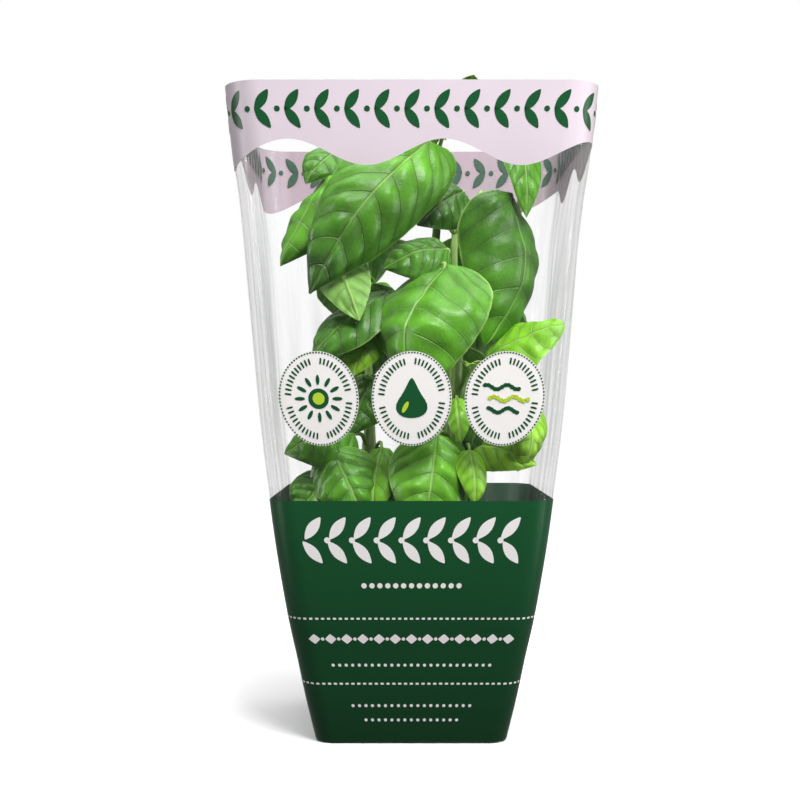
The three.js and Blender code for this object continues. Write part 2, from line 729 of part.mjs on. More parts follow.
addPiece("pot", potGeometry(), potPlastic);
addPiece("soil", soilGeometry(STEMS), soilEarth);
for (const stem of STEMS) addPiece(stem.name, leafyStemGeometry(stem), leafGreen);

export default plant;
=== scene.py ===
import math

import bpy
import numpy as np
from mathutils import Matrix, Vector


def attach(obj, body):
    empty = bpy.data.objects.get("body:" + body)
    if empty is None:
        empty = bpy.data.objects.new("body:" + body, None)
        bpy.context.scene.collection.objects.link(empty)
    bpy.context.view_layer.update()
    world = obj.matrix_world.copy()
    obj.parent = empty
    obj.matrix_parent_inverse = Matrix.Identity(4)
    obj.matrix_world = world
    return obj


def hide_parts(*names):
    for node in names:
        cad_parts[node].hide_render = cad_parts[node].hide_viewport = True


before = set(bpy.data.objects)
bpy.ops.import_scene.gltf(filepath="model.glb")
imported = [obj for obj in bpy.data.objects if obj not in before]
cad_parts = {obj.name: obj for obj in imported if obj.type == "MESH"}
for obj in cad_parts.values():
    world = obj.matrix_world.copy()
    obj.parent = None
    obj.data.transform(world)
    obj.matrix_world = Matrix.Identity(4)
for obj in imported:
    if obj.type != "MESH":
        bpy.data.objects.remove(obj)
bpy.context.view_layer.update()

# A living basil plant in a nursery pot, in a tall printed sleeve of clear film.
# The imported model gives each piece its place; here it gets its fine surface and its finish.

mm = 0.001
scene = bpy.context.scene
print("frame loaded:", len(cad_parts), "nodes")


def toLinear(hexColour, alpha=1.0):
    # sRGB hex to linear: below 0.04045 divide by 12.92, above it ((c + 0.055) / 1.055) ^ 2.4
    values = np.array([int(hexColour[i:i + 2], 16) / 255 for i in (1, 3, 5)])
    linear = np.where(values <= 0.04045, values / 12.92, ((values + 0.055) / 1.055) ** 2.4)
    return (*linear.tolist(), alpha)


def addNode(tree, kind, inputs=None, **settings):
    # one shader node with its settings; each input is a value or the socket that feeds it
    node = tree.nodes.new("ShaderNode" + kind)
    for key, value in settings.items():
        setattr(node, key, value)
    for socket, value in (inputs or {}).items():
        if isinstance(value, bpy.types.NodeSocket):
            tree.links.new(value, node.inputs[socket])
        else:
            node.inputs[socket].default_value = value
    return node


def newMaterial(name):
    material = bpy.data.materials.new(name)
    material.use_nodes = True
    material.node_tree.nodes.clear()
    return material, material.node_tree


def closeMaterial(material, inputs, kind="BsdfPrincipled"):
    # the last shader and the output
    shader = addNode(material.node_tree, kind, inputs)
    addNode(material.node_tree, "OutputMaterial", {"Surface": shader.outputs[0]})
    return material


def mathNode(tree, operation, *inputs, clamp=False):
    node = addNode(tree, "Math", dict(enumerate(inputs)), operation=operation, use_clamp=clamp)
    return node.outputs[0]


def multiply(tree, first, second):
    return mathNode(tree, "MULTIPLY", first, second)


def objectPlace(tree):
    return addNode(tree, "TexCoord").outputs["Object"]


def uvPlace(tree, layer):
    return addNode(tree, "UVMap", uv_map=layer).outputs[0]


def splitPlace(tree, place):
    return addNode(tree, "SeparateXYZ", {"Vector": place}).outputs


def stretched(tree, place, scale):
    return addNode(tree, "Mapping", {"Scale": scale, "Vector": place}).outputs[0]


def noise(tree, place, scale, detail=2.0, roughness=0.5):
    inputs = {"Scale": scale, "Detail": detail, "Roughness": roughness, "Vector": place}
    return addNode(tree, "TexNoise", inputs).outputs["Fac"]


def mapRange(tree, value, fromLow, fromHigh, toLow, toHigh, ease="SMOOTHSTEP"):
    # value carried from one range to another and held at the ends of the second
    inputs = {"Value": value, "From Min": fromLow, "From Max": fromHigh, "To Min": toLow, "To Max": toHigh}
    return addNode(tree, "MapRange", inputs, interpolation_type=ease).outputs[0]


def mixColours(tree, factor, first, second, mode="MIX"):
    inputs = {"Factor": factor, "A": first, "B": second}
    return addNode(tree, "Mix", inputs, data_type="RGBA", blend_type=mode).outputs["Result"]


def bump(tree, height, strength, distance):
    inputs = {"Height": height, "Strength": strength, "Distance": distance}
    return addNode(tree, "Bump", inputs).outputs[0]


def addMesh(name, points, faces, materials, faceMaterial=None, layers=None, sharpAbove=40):
    # points (n, 3) in mm and faces become one object; layers hold a pair (a UV map) or a number (an
    # attribute) for each point; edges that turn by more than sharpAbove degrees stay crisp
    mesh = bpy.data.meshes.new(name)
    mesh.from_pydata((points * mm).tolist(), [], faces.tolist() if isinstance(faces, np.ndarray) else faces)
    for material in materials:
        mesh.materials.append(material)
    if faceMaterial is not None:
        mesh.polygons.foreach_set("material_index", faceMaterial.astype(np.int32))
    corner = np.zeros(len(mesh.loops), np.int32)
    mesh.loops.foreach_get("vertex_index", corner)
    for layer, data in (layers or {}).items():
        if data.ndim == 2:
            mesh.uv_layers.new(name=layer).data.foreach_set("uv", data[corner].astype(np.float32).ravel())
        else:
            mesh.attributes.new(layer, "FLOAT", "POINT").data.foreach_set("value", data.astype(np.float32))
    mesh.update()
    mesh.set_sharp_from_angle(angle=math.radians(sharpAbove))
    piece = bpy.data.objects.new(name, mesh)
    scene.collection.objects.link(piece)
    return piece


def finishPiece(piece, slot, *nodes):
    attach(piece, "root")
    if nodes:
        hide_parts(*nodes)


def gridFaces(rows, cols, start=0, wrapRows=False, wrapCols=False):
    # quads between neighbours in a grid of points numbered row by row
    i = np.arange(rows if wrapRows else rows - 1)[:, None]
    j = np.arange(cols if wrapCols else cols - 1)[None, :]
    below = i * cols
    above = ((i + 1) % rows) * cols
    after = (j + 1) % cols
    quads = np.stack([below + j, below + after, above + after, above + j], -1)
    return quads.reshape(-1, 4) + start


def fanFaces(middle, ring):
    # triangles from one point to a closed ring of points
    return np.stack([np.full(len(ring), middle), ring, np.roll(ring, -1)], -1)


sleeve = {
    "height": 300.0,
    "cornerShare": 0.195,  # corner radius over half width
    "cornerReach": 1.883,  # at a corner, |x| + |y| over half width
    "heights": np.array([0, 20, 40, 58, 77, 96, 114.5, 150, 205, 250, 268, 300]),
    "halfWidths": np.array([44.7, 49.2, 53.1, 56.8, 60, 62.8, 65.1, 69.2, 73.9, 77.9, 80.3, 83.5]),
    "film": 0.3,  # wall of the film, drawn thicker than the real 0.04 mm
    "foldDepth": 0.75,
}
perimeter = 8 * (1 - sleeve["cornerShare"]) + 2 * math.pi * sleeve["cornerShare"]

badge = {
    "halfWide": 17.9,
    "halfTall": 21.2,
    "height": 160.6,
    "pitch": 41.6,
    "dots": 84,  # of the dotted rim
    "dotHalf": 0.42,
    "dotInset": 0.55,  # from the oval's edge to a dot's middle
    "strokes": 52,  # places in the ring inside it, in four runs
    "strokeHalf": (1.5, 0.42),
    "ringHalf": (13.6, 16.9),
}


def cubic(u, first, last, leaving, arriving):
    # Hermite curve from first to last, with its slopes where it leaves and arrives
    return ((2 * u**3 - 3 * u**2 + 1) * first + (u**3 - 2 * u**2 + u) * leaving
            + (3 * u**2 - 2 * u**3) * last + (u**3 - u**2) * arriving)


def halfWidthAt(z):
    # cubic through the stations, with the slope at each taken from its two neighbours
    stations, widths = sleeve["heights"], sleeve["halfWidths"]
    end = len(stations) - 1
    i = np.clip(np.searchsorted(stations, z, side="right") - 1, 0, end - 1)
    span = stations[i + 1] - stations[i]

    def slope(k):
        low, high = np.maximum(k - 1, 0), np.minimum(k + 1, end)
        return (widths[high] - widths[low]) / (stations[high] - stations[low])

    return cubic((z - stations[i]) / span, widths[i], widths[i + 1], span * slope(i), span * slope(i + 1))


def outlineAt(share):
    # point and outward normal on a rounded square of half width 1, by share of its perimeter,
    # from the middle of the front round to the right
    corner = sleeve["cornerShare"]
    quarter, flat, arc = perimeter / 4, 1 - corner, math.pi / 4 * corner
    run = np.mod(share, 1.0) * perimeter + quarter / 2
    side = np.floor(run / quarter)
    run = run - side * quarter
    turn = (np.minimum(run - arc, 0) + np.maximum(run - (quarter - arc), 0)) / corner
    nx, ny = np.sin(turn), -np.cos(turn)
    x = np.clip(run - arc, 0, 2 * flat) - flat + corner * nx
    y = corner * ny - flat
    c, s = np.cos(side * math.pi / 2), np.sin(side * math.pi / 2)
    return x * c - y * s, x * s + y * c, nx * c - ny * s, nx * s + ny * c


def foldAt(share, z):
    # soft upright folds of the loose film: slow waves round the sleeve that lean with height, squared to
    # stay inwards, and faded out where ink, badges and pot hold the film taut
    lean = share * 2 * math.pi + 0.0011 * (z - 190)
    waves = (np.sin(11 * lean + 0.6) + 0.8 * np.sin(17 * lean + 2.1) + 0.6 * np.sin(29 * lean + 0.013 * z)
             + 0.35 * np.sin(47 * lean + 4.0))
    slack = np.clip((z - 116) / 30, 0, 1) * np.clip((266 - z) / 30, 0, 1)
    run = (np.mod(share + 0.25, 0.5) - 0.25) * perimeter * halfWidthAt(z)
    for i in (-1, 0, 1):
        away = np.hypot((run - i * badge["pitch"]) / badge["halfWide"],
                        (z - badge["height"]) / badge["halfTall"])
        slack = slack * np.clip((away - 1.02) / 0.35, 0, 1)
    return -sleeve["foldDepth"] * slack * (waves / 2.75) ** 2


def sleevePoints(share, z, out=0.0):
    # outer face of the film: the outline times the half width, moved along its normal by out and the folds
    share, z = np.broadcast_arrays(np.asarray(share, float), np.asarray(z, float))
    x, y, nx, ny = outlineAt(share)
    half = halfWidthAt(z)
    off = out + foldAt(share, z)
    return np.stack([x * half + nx * off, y * half + ny * off, z], -1)


def columnShares(cols):
    return np.arange(cols)[None, :] / cols


def printedInk(name, hexColour, paintedFootShade=1.0):
    # flexographic ink on polypropylene film: even and opaque, a little cloudy, with the satin gloss and
    # the faint upright ripple of the film; the foot shade argument paints shade on it, darker towards the
    # foot
    material, tree = newMaterial(name)
    place = objectPlace(tree)
    shade = mapRange(tree, noise(tree, place, 45.0, 3.0), 0.0, 1.0, 0.95, 1.04, "LINEAR")
    # painted shade: the ink is darker towards the foot, by the foot shade argument
    foot = mapRange(tree, splitPlace(tree, place)["Z"], 0.0, 0.115, paintedFootShade, 1.0, "LINEAR")
    tint = mixColours(tree, 1.0, toLinear(hexColour), multiply(tree, shade, foot), "MULTIPLY")
    ripple = noise(tree, stretched(tree, place, (30, 30, 7)), 1.0)
    return closeMaterial(material, {
        "Base Color": tint, "Normal": bump(tree, ripple, 0.3, 0.0012),
        "Roughness": 0.34, "IOR": 1.49, "Specular IOR Level": 0.16})


def clearFilm():
    # cast polypropylene film, 40 microns: clear, mirror-like at a glance and faintly milky along its
    # upright folds, so that walls seen edge on turn a soft streaky grey
    material, tree = newMaterial("castPolypropyleneFilm")
    run = uvPlace(tree, "run")
    streak = mapRange(tree, noise(tree, stretched(tree, run, (46, 0.8, 1)), 1.0, 3.0), 0.4, 0.7, 0.35, 1.9)
    facing = addNode(tree, "LayerWeight", {"Blend": 0.5}).outputs["Facing"]
    # the run is 0 at the back, where moist leaves cloud the film, and 0.5 at the front
    cloudy = mapRange(tree, splitPlace(tree, run)["X"], 0.1, 0.4, 0.07, 0.003, "LINEAR")
    milky = mathNode(tree, "MULTIPLY_ADD", mathNode(tree, "POWER", facing, 2.6), 0.12, cloudy)
    normal = bump(tree, noise(tree, stretched(tree, run, (170, 3, 1)), 1.0), 0.5, 0.001)
    haze = addNode(tree, "BsdfPrincipled",
                   {"Base Color": toLinear("#c4c8c9"), "Roughness": 0.4, "IOR": 1.49, "Normal": normal})
    clear = addNode(tree, "BsdfTransparent")
    body = addNode(tree, "MixShader",
                   {0: multiply(tree, milky, streak), 1: clear.outputs[0], 2: haze.outputs[0]})
    gloss = addNode(tree, "BsdfAnisotropic", {"Roughness": 0.09, "Normal": normal})
    # it mirrors 0.006 face on, and more with the fourth power of how edge on it is seen
    mirror = mathNode(tree, "MULTIPLY_ADD", mathNode(tree, "POWER", facing, 4.0), 0.2, 0.006)
    return closeMaterial(material, {0: mirror, 1: body.outputs[0], 2: gloss.outputs[0]}, "MixShader")


def leafSkin(name, tones, roughness, bumpDepth):
    # living basil leaf: waxy skin over green flesh, with sunken veins and a fine net between them; tones
    # run from an old dark leaf at 0 to a young yellow one at 1
    material, tree = newMaterial(name)
    tone = addNode(tree, "Attribute", attribute_name="tone").outputs["Fac"]
    relief = addNode(tree, "Attribute", attribute_name="relief").outputs["Fac"]
    ramp = addNode(tree, "ValToRGB", {"Fac": tone})
    ramp.color_ramp.elements[0].color = toLinear(tones[0])
    ramp.color_ramp.elements[1].color = toLinear(tones[-1])
    for i, colour in enumerate(tones[1:-1]):
        ramp.color_ramp.elements.new((i + 1) / (len(tones) - 1)).color = toLinear(colour)
    blade = uvPlace(tree, "blade")
    vein = splitPlace(tree, uvPlace(tree, "veins"))
    fromVein = mathNode(tree, "PINGPONG", vein["X"], 0.5)
    fromRib = mathNode(tree, "ABSOLUTE", splitPlace(tree, blade)["Y"])
    sideLine = mapRange(tree, fromVein, 0.0, 0.04, 1.0, 0.0)
    ribLine = mapRange(tree, fromRib, 0.001, 0.01, 1.0, 0.0)
    # cells of the net are about 2.4 mm across: the blade map is in tenths of a metre
    net = addNode(tree, "TexVoronoi", {"Scale": 42.0, "Randomness": 0.9, "Vector": blade},
                  feature="DISTANCE_TO_EDGE")
    netLine = mapRange(tree, net.outputs["Distance"], 0.0, 0.16, 1.0, 0.0)
    mottle = noise(tree, blade, 8.0, 4.0)
    shade = mapRange(tree, mottle, 0.3, 0.7, 0.74, 1.2, "LINEAR")
    # painted shade darkens the flesh beside the veins and painted light makes it paler between them; an old
    # leaf's side veins get painted shade as dark furrows, a young one's are pale lines
    swell = mapRange(tree, fromVein, 0.0, 0.4, 0.84, 1.08)
    sunken = multiply(tree, sideLine, relief)
    paintedFurrowShade = multiply(tree, sunken, mathNode(tree, "MULTIPLY_ADD", tone, -1.4, 0.85, clamp=True))
    paintedHollowShade = multiply(tree, swell, mathNode(tree, "SUBTRACT", 1.0, paintedFurrowShade))
    fleshAndPaintedShade = mixColours(tree, 1.0, ramp.outputs["Color"], multiply(tree, shade, paintedHollowShade), "MULTIPLY")
    paleSide = multiply(tree, sideLine, mathNode(tree, "MULTIPLY", tone, 0.8, clamp=True))
    lines = multiply(tree, mathNode(tree, "MAXIMUM", paleSide, ribLine),
                     mathNode(tree, "MULTIPLY_ADD", tone, 0.45, 0.1))
    pale = mathNode(tree, "ADD", lines, multiply(tree, netLine, 0.04), clamp=True)
    # painted highlight: a thin pale line along the blade's edge, where light catches its rim
    paintedEdgeHighlight = mapRange(tree, mathNode(tree, "ABSOLUTE", vein["Y"]), 0.955, 1.0, 0.0, 0.45)
    veined = mixColours(tree, mathNode(tree, "MAXIMUM", pale, paintedEdgeHighlight), fleshAndPaintedShade, toLinear("#b9d884"))
    grooves = mathNode(tree, "ADD", mathNode(tree, "MAXIMUM", sunken, ribLine), multiply(tree, netLine, 0.05))
    height = mathNode(tree, "SUBTRACT", multiply(tree, mottle, 0.9), grooves)
    return closeMaterial(material, {
        "Base Color": veined, "Normal": bump(tree, height, 0.7, bumpDepth * mm),
        "Roughness": roughness, "IOR": 1.42, "Specular IOR Level": 0.32,
        "Subsurface Weight": 0.12, "Subsurface Radius": (0.5, 1.0, 0.15), "Subsurface Scale": 0.0008})


def stemSkin():
    # juicy young basil stem: pale green, translucent, faintly ribbed along its length
    material, tree = newMaterial("youngBasilStem")
    ribs = noise(tree, stretched(tree, objectPlace(tree), (900, 900, 60)), 1.0, 3.0)
    return closeMaterial(material, {
        "Base Color": mixColours(tree, ribs, toLinear("#6f9a3f"), toLinear("#a3c46c")),
        "Normal": bump(tree, ribs, 0.4, 0.0003), "Roughness": 0.42, "IOR": 1.4,
        "Subsurface Weight": 0.3, "Subsurface Radius": (0.6, 1.0, 0.2), "Subsurface Scale": 0.0015})


def dampPeat():
    # milled peat with fibres: nearly black where damp, rusty where a fibre shows, dull all over
    material, tree = newMaterial("dampMilledPeat")
    crumbs = noise(tree, objectPlace(tree), 420.0, 6.0, 0.7)
    ramp = addNode(tree, "ValToRGB", {"Fac": crumbs})
    for stop, position, colour in zip(ramp.color_ramp.elements, (0.35, 0.72), ("#1d140e", "#5a3f2a")):
        stop.position, stop.color = position, toLinear(colour)
    return closeMaterial(material, {
        "Base Color": ramp.outputs["Color"], "Normal": bump(tree, crumbs, 0.9, 0.0012),
        "Roughness": 0.95, "Specular IOR Level": 0.2})


def mouldedPot():
    # thermoformed recycled polypropylene: near black, matt, with the fine pebble of the mould
    material, tree = newMaterial("thermoformedPotPlastic")
    place = objectPlace(tree)
    dust = noise(tree, place, 60.0, 4.0)
    return closeMaterial(material, {
        "Base Color": mixColours(tree, dust, toLinear("#1b1d1f"), toLinear("#34373a")),
        "Normal": bump(tree, noise(tree, place, 900.0), 0.3, 0.0002), "Roughness": 0.5, "IOR": 1.49})


filmMaterial = clearFilm()
# the green ink gets painted shade, half as bright at the foot
greenInk = printedInk("greenFilmInkWithPaintedFootShade", "#17512d", 0.5)
lilacInk = printedInk("lilacFilmInk", "#dacdd6")
lilacInsidePaintedShade = printedInk("lilacInkSeenThroughFilmPaintedShade", "#b39eaa")  # the same ink from inside the bag, made darker as painted shade for the dimmer inside of the sleeve
whiteInk = printedInk("offWhiteFilmInk", "#f4f1ef")
limeInk = printedInk("limeFilmInk", "#b5d13c")
inkSeenThrough = printedInk("greenInkSeenThroughFilm", "#3f5a4b")
leafUpper = leafSkin("basilLeafUpper", ["#284f18", "#3f7619", "#5a9e20", "#7ebc29", "#a8d434"], 0.34, 0.7)
leafUnder = leafSkin("basilLeafUnder", ["#456f39", "#5a8b40", "#76aa50", "#90c05a", "#b0d470"], 0.5, -0.6)
stemMaterial = stemSkin()
peatMaterial = dampPeat()
potMaterial = mouldedPot()
print("materials made")


def makeFilm():
    # the outer face from foot to rim, then the inner face back down; each foot is one flat face
    cols, rows = 400, 110
    share = columnShares(cols)
    z = np.linspace(0, sleeve["height"], rows)[:, None]
    outer = sleevePoints(share, z)
    inner = sleevePoints(share, np.maximum(z, sleeve["film"]), -sleeve["film"])[::-1]
    rings = np.concatenate([outer, inner])
    count = len(rings)
    faces = gridFaces(count, cols, wrapCols=True).tolist()
    faces += [list(range(cols))[::-1], list(range((count - 1) * cols, count * cols))]
    # the run is mirrored about the middle of the back, so that the haze has no seam
    run = np.abs(np.broadcast_to(share, (count, cols)) - 0.5)
    uv = np.stack([run, rings[..., 2] / 100], -1).reshape(-1, 2)
    film = addMesh("clearFilmBag", rings.reshape(-1, 3), faces, [filmMaterial], layers={"run": uv})
    finishPiece(film, "clear_film", "film_sleeve")


makeFilm()
print("film made")


ink = {
    "lift": 0.12,  # from the film to the underside of the ink
    "thick": 0.14,
    "markLift": 0.3,  # the same for what is printed over another colour
    "markThick": 0.1,
    "limeOver": 0.12,  # how much higher the lime ink lies
    "insideLift": -0.5,  # green marks show through the pale ink from inside the sleeve
    "greenLow": 0.6,
    "greenHigh": 114.5,
    "bandMean": 269.0,
    "bandSwing": 5.7,
    "bandWaves": 9,
    "firstDip": -20.0,
}


def bandEdge(share):
    # a cosine of nine waves round the sleeve, its first dip left of the front's middle
    length = perimeter * halfWidthAt(ink["bandMean"])
    phase = 2 * math.pi * ink["bandWaves"] * (share - ink["firstDip"] / length)
    return ink["bandMean"] - ink["bandSwing"] * np.cos(phase)


def makeSkin(name, low, high, rows, materials, slot, node, cols=640):
    # rows from low to high on an outer and an inner face, joined into one closed band; the last material
    # is for the inner face
    share = columnShares(cols)
    v = np.linspace(0, 1, rows)[:, None]
    z = low(share) + v * (high - low(share))
    outer = sleevePoints(share, z, ink["lift"] + ink["thick"])
    inner = sleevePoints(share, z, ink["lift"])[::-1]
    rings = np.concatenate([outer, inner])
    faces = gridFaces(len(rings), cols, wrapRows=True, wrapCols=True)
    inward = np.arange(len(faces)) // cols >= rows
    skin = addMesh(name, rings.reshape(-1, 3), faces, materials, inward * (len(materials) - 1))
    finishPiece(skin, slot, node)
    return skin


makeSkin("greenBasePrint", lambda share: np.full_like(share, ink["greenLow"]), ink["greenHigh"], 40,
         [greenInk], "green_ink", "green_print", 320)
lilacSkin = makeSkin("lilacRimPrint", bandEdge, sleeve["height"], 8,
                     [lilacInk, lilacInsidePaintedShade], "lilac_ink", "lilac_print")
lilacSkin.visible_shadow = False  # the pale ink lets the light through to the leaves


def shapeOnSide(side, run, z, outline):
    # a shape's place: its side of the sleeve (0 front, 2 back), its run along it and its height in mm
    return side / 4 + run / (perimeter * float(halfWidthAt(z))), z, outline


def inkShapes(name, shapes, material, slot, lift, thick, rings=1, nodes=()):
    # each outline becomes a thin closed tablet on the film: middle + (outline - middle) * r on rings r, on
    # an upper and a lower face, its run turned to a share of the perimeter at its place
    points, faces, start = [], [], 0
    for k in sorted({len(outline) for *_, outline in shapes}):
        group = [shape for shape in shapes if len(shape[2]) == k]
        n, each = len(group), rings * k
        share, z, outline = map(np.array, zip(*group))
        share, z = share[:, None], z[:, None]
        r = (np.arange(1, rings + 1) / rings)[None, :, None, None]
        middle = outline.mean(1, keepdims=True)
        plan = (middle[:, None] + (outline - middle)[:, None] * r).reshape(n, each, 2)
        plan = np.concatenate([plan, middle], 1)
        around = share + plan[..., 0] / (perimeter * halfWidthAt(z))
        upper = sleevePoints(around, z + plan[..., 1], lift + thick)
        lower = sleevePoints(around, z + plan[..., 1], lift)
        points.append(np.concatenate([upper, lower], 1).reshape(-1, 3))
        lowerStart = each + 1
        edge = np.arange(each - k, each)
        after = np.roll(edge, -1)
        top = gridFaces(rings, k, wrapCols=True)[:, ::-1]
        side = np.stack([edge, lowerStart + edge, lowerStart + after, after], -1)
        fan = fanFaces(each, np.arange(k))
        step = (start + np.arange(n) * 2 * lowerStart)[:, None, None]
        quads = np.concatenate([top, top[:, ::-1] + lowerStart, side])
        faces += (quads + step).reshape(-1, 4).tolist()
        faces += (np.concatenate([fan, fan[:, ::-1] + lowerStart]) + step).reshape(-1, 3).tolist()
        start += n * 2 * lowerStart
    piece = addMesh(name, np.concatenate(points), faces, [material])
    finishPiece(piece, slot, *nodes)


def oval(halfLong, halfWide, turn=0.0, points=24, lens=0.0, power=1.0, at=(0, 0)):
    # an ellipse (a cos u, b sin u), turned by degrees; lens draws its ends to points, and power 2 makes it
    # a lozenge and 0.3 nearly a box
    u = (np.arange(points) + 0.5) / points * 2 * math.pi
    cu, su = np.cos(u), np.sin(u)
    along = halfLong * np.sign(cu) * np.abs(cu) ** power
    across = halfWide * np.sign(su) * np.abs(su) ** power * (1 - lens * cu**2)
    c, s = math.cos(math.radians(turn)), math.sin(math.radians(turn))
    return np.stack([at[0] + along * c - across * s, at[1] + along * s + across * c], -1)


def makeDashes():
    # two dashed lines round the green base, dashes 1.5 mm long at a pitch of 2.7 mm
    shapes = []
    for z in (60.1, 29.1):
        count = round(perimeter * float(halfWidthAt(z)) / 2.7)
        shapes += [(i / count, z, oval(0.76, 0.46, points=8, power=0.3)) for i in range(count)]
    inkShapes("dashedLines", shapes, whiteInk, "white_ink", ink["markLift"], ink["markThick"])


def onRing(count, halfWide, halfTall):
    # the angle and the place of each mark round an oval ring
    angles = [2 * math.pi * k / count for k in range(count)]
    return [(a, (halfWide * math.cos(a), halfTall * math.sin(a))) for a in angles]


def badgeMotif(kind):
    # plain motifs, green and lime, as outlines about the badge's middle: a sun, a drop and a breeze
    green, lime = [], []
    if kind == "sun":
        green.append(oval(4.6, 4.6))
        green += [oval(2.3, 0.85, math.degrees(a), 12, at=at) for a, at in onRing(12, 8.4, 8.4)]
        lime.append(oval(2.7, 2.7))
    elif kind == "drop":
        u = (np.arange(24) + 0.5) / 24 * 2 * math.pi
        tall = 7.2 * np.cos(u) + 3.6 * np.maximum(np.cos(u), 0) ** 3
        wide = 6.6 * np.sin(u) * (1 - 0.42 * np.cos(u)) * np.where(np.cos(u) > 0, 1 - 0.25 * np.cos(u), 1)
        green.append(np.stack([wide, tall - 1.5], -1)[::-1])
        lime.append(oval(2.8, 1.0, 62, at=(-2.9, -3.8)))
    else:
        for row, (shift, half) in enumerate([(-1.6, 7.4), (1.8, 8.4), (-0.6, 6.4)]):
            for x in (half * k / 5 for k in range(-5, 6)):
                turn = math.degrees(math.atan(0.7 * math.cos(x * 0.7)))
                at = (shift + x, 5.2 - 5.2 * row + math.sin(x * 0.7))
                (lime if row == 1 else green).append(oval(1.15, 0.95, turn, 12, at=at))
    return green, lime


def makeBadges():
    # each badge: an off-white oval, a dotted rim, a ring of short strokes and a motif
    green, lime = [], []
    u = np.arange(96) / 96 * 2 * math.pi
    rim = np.stack([badge["halfWide"] * np.cos(u), badge["halfTall"] * np.sin(u)], -1)
    dotHalf, inset = badge["dotHalf"], badge["dotInset"]
    dots = onRing(badge["dots"], badge["halfWide"] - inset, badge["halfTall"] - inset)
    marks = [oval(dotHalf, dotHalf, 0, 8, at=at) for _, at in dots]
    for k, (a, at) in enumerate(onRing(badge["strokes"], *badge["ringHalf"])):
        if k % (badge["strokes"] // 4) > 1:
            marks.append(oval(*badge["strokeHalf"], math.degrees(a), 8, power=0.5, at=at))
    for side, face in ((0, "front"), (2, "back")):
        for i, (place, kind) in enumerate([("left", "sun"), ("middle", "drop"), ("right", "breeze")]):
            centre = (side, (i - 1) * badge["pitch"], badge["height"])
            inkShapes(f"badge{face.capitalize()}{place.capitalize()}", [shapeOnSide(*centre, rim)],
                      whiteInk, "white_ink", ink["lift"], ink["thick"], 12, [f"badge_{face}_{place}"])
            motifGreen, motifLime = badgeMotif(kind)
            green += [shapeOnSide(*centre, outline) for outline in motifGreen + marks]
            lime += [shapeOnSide(*centre, outline) for outline in motifLime]
    lift, thick = ink["markLift"], ink["markThick"]
    inkShapes("badgeGreenMarks", green, greenInk, "green_ink", lift, thick)
    inkShapes("badgeMarksInside", green, inkSeenThrough, "green_ink", ink["insideLift"], thick)
    inkShapes("badgeLimeMarks", lime, limeInk, "white_ink", lift + ink["limeOver"], thick)


def bead(radius):
    return oval(radius, radius, points=12)


baseRows = [
    # plain borders: count, pitch, height, outline and shift of each row on a side
    (9, 11.2, 102.0, oval(6.4, 2.5, 52, lens=0.55), 0),
    (9, 11.2, 91.0, oval(6.4, 2.5, -52, lens=0.55), 0),
    (8, 11.2, 96.5, bead(1.4), 1),
    (13, 3.6, 75.5, bead(1.25), 0),
    (13, 7.4, 50.5, oval(2.6, 2.3, power=1.8), 0),
    (12, 7.4, 50.5, bead(0.8), 0),
    (25, 3.0, 38.0, bead(0.75), 0),
    (19, 3.0, 18.5, bead(0.75), 0),
    (15, 3.0, 11.5, bead(0.75), 0),
]
rimPitch = 13.2
rimRows = [
    # height, outline and shift, as a share of the pitch, of each row round the rim
    (291.3, oval(5.6, 2.2, 55, lens=0.5), 0),
    (283.9, oval(5.6, 2.2, -55, lens=0.5), 0),
    (287.6, bead(1.3), 0.5),
]


def makeOrnaments():
    white = [shapeOnSide(side, (k - (count - 1) / 2) * pitch + shift, z, outline)
             for side in (0, 2) for count, pitch, z, outline, shift in baseRows for k in range(count)]
    count = round(perimeter * float(halfWidthAt(288.0)) / rimPitch)
    green = [((k + shift) / count, z, outline) for z, outline, shift in rimRows for k in range(count)]
    lift, thick = ink["markLift"], ink["markThick"]
    inkShapes("baseOrnament", white, whiteInk, "white_ink", lift, thick, 3)
    inkShapes("rimOrnament", green, greenInk, "green_ink", lift, thick, 3)
    inkShapes("rimOrnamentInside", green, inkSeenThrough, "green_ink", ink["insideLift"], thick)


makeDashes()
makeBadges()
makeOrnaments()
print("print made")


potShape = {
    "heights": (0.9, 83.0),  # between which its wall is straight
    "halfWidths": (42.5, 57.4),
    "wall": 1.3,
    "gap": 0.4,  # between the pot and the peat
}
soilShape = {"top": 79.0, "dome": 1.8, "crumbs": 0.45, "edgeDrop": 0.6, "seed": 5}
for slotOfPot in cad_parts["pot"].material_slots:
    slotOfPot.material = potMaterial


def slowNoise(x, y, seed, waves=24, low=0.05, high=0.9):
    # a sum of seeded sine waves in random directions, from long to short
    rng = np.random.default_rng(seed)
    total = np.zeros(np.broadcast(x, y).shape)
    for size in np.geomspace(low, high, waves):
        a = rng.uniform(0, 2 * math.pi)
        wave = np.sin(size * (x * math.cos(a) + y * math.sin(a)) + rng.uniform(0, 6.3))
        total += wave * (low / size) ** 0.45
    return total


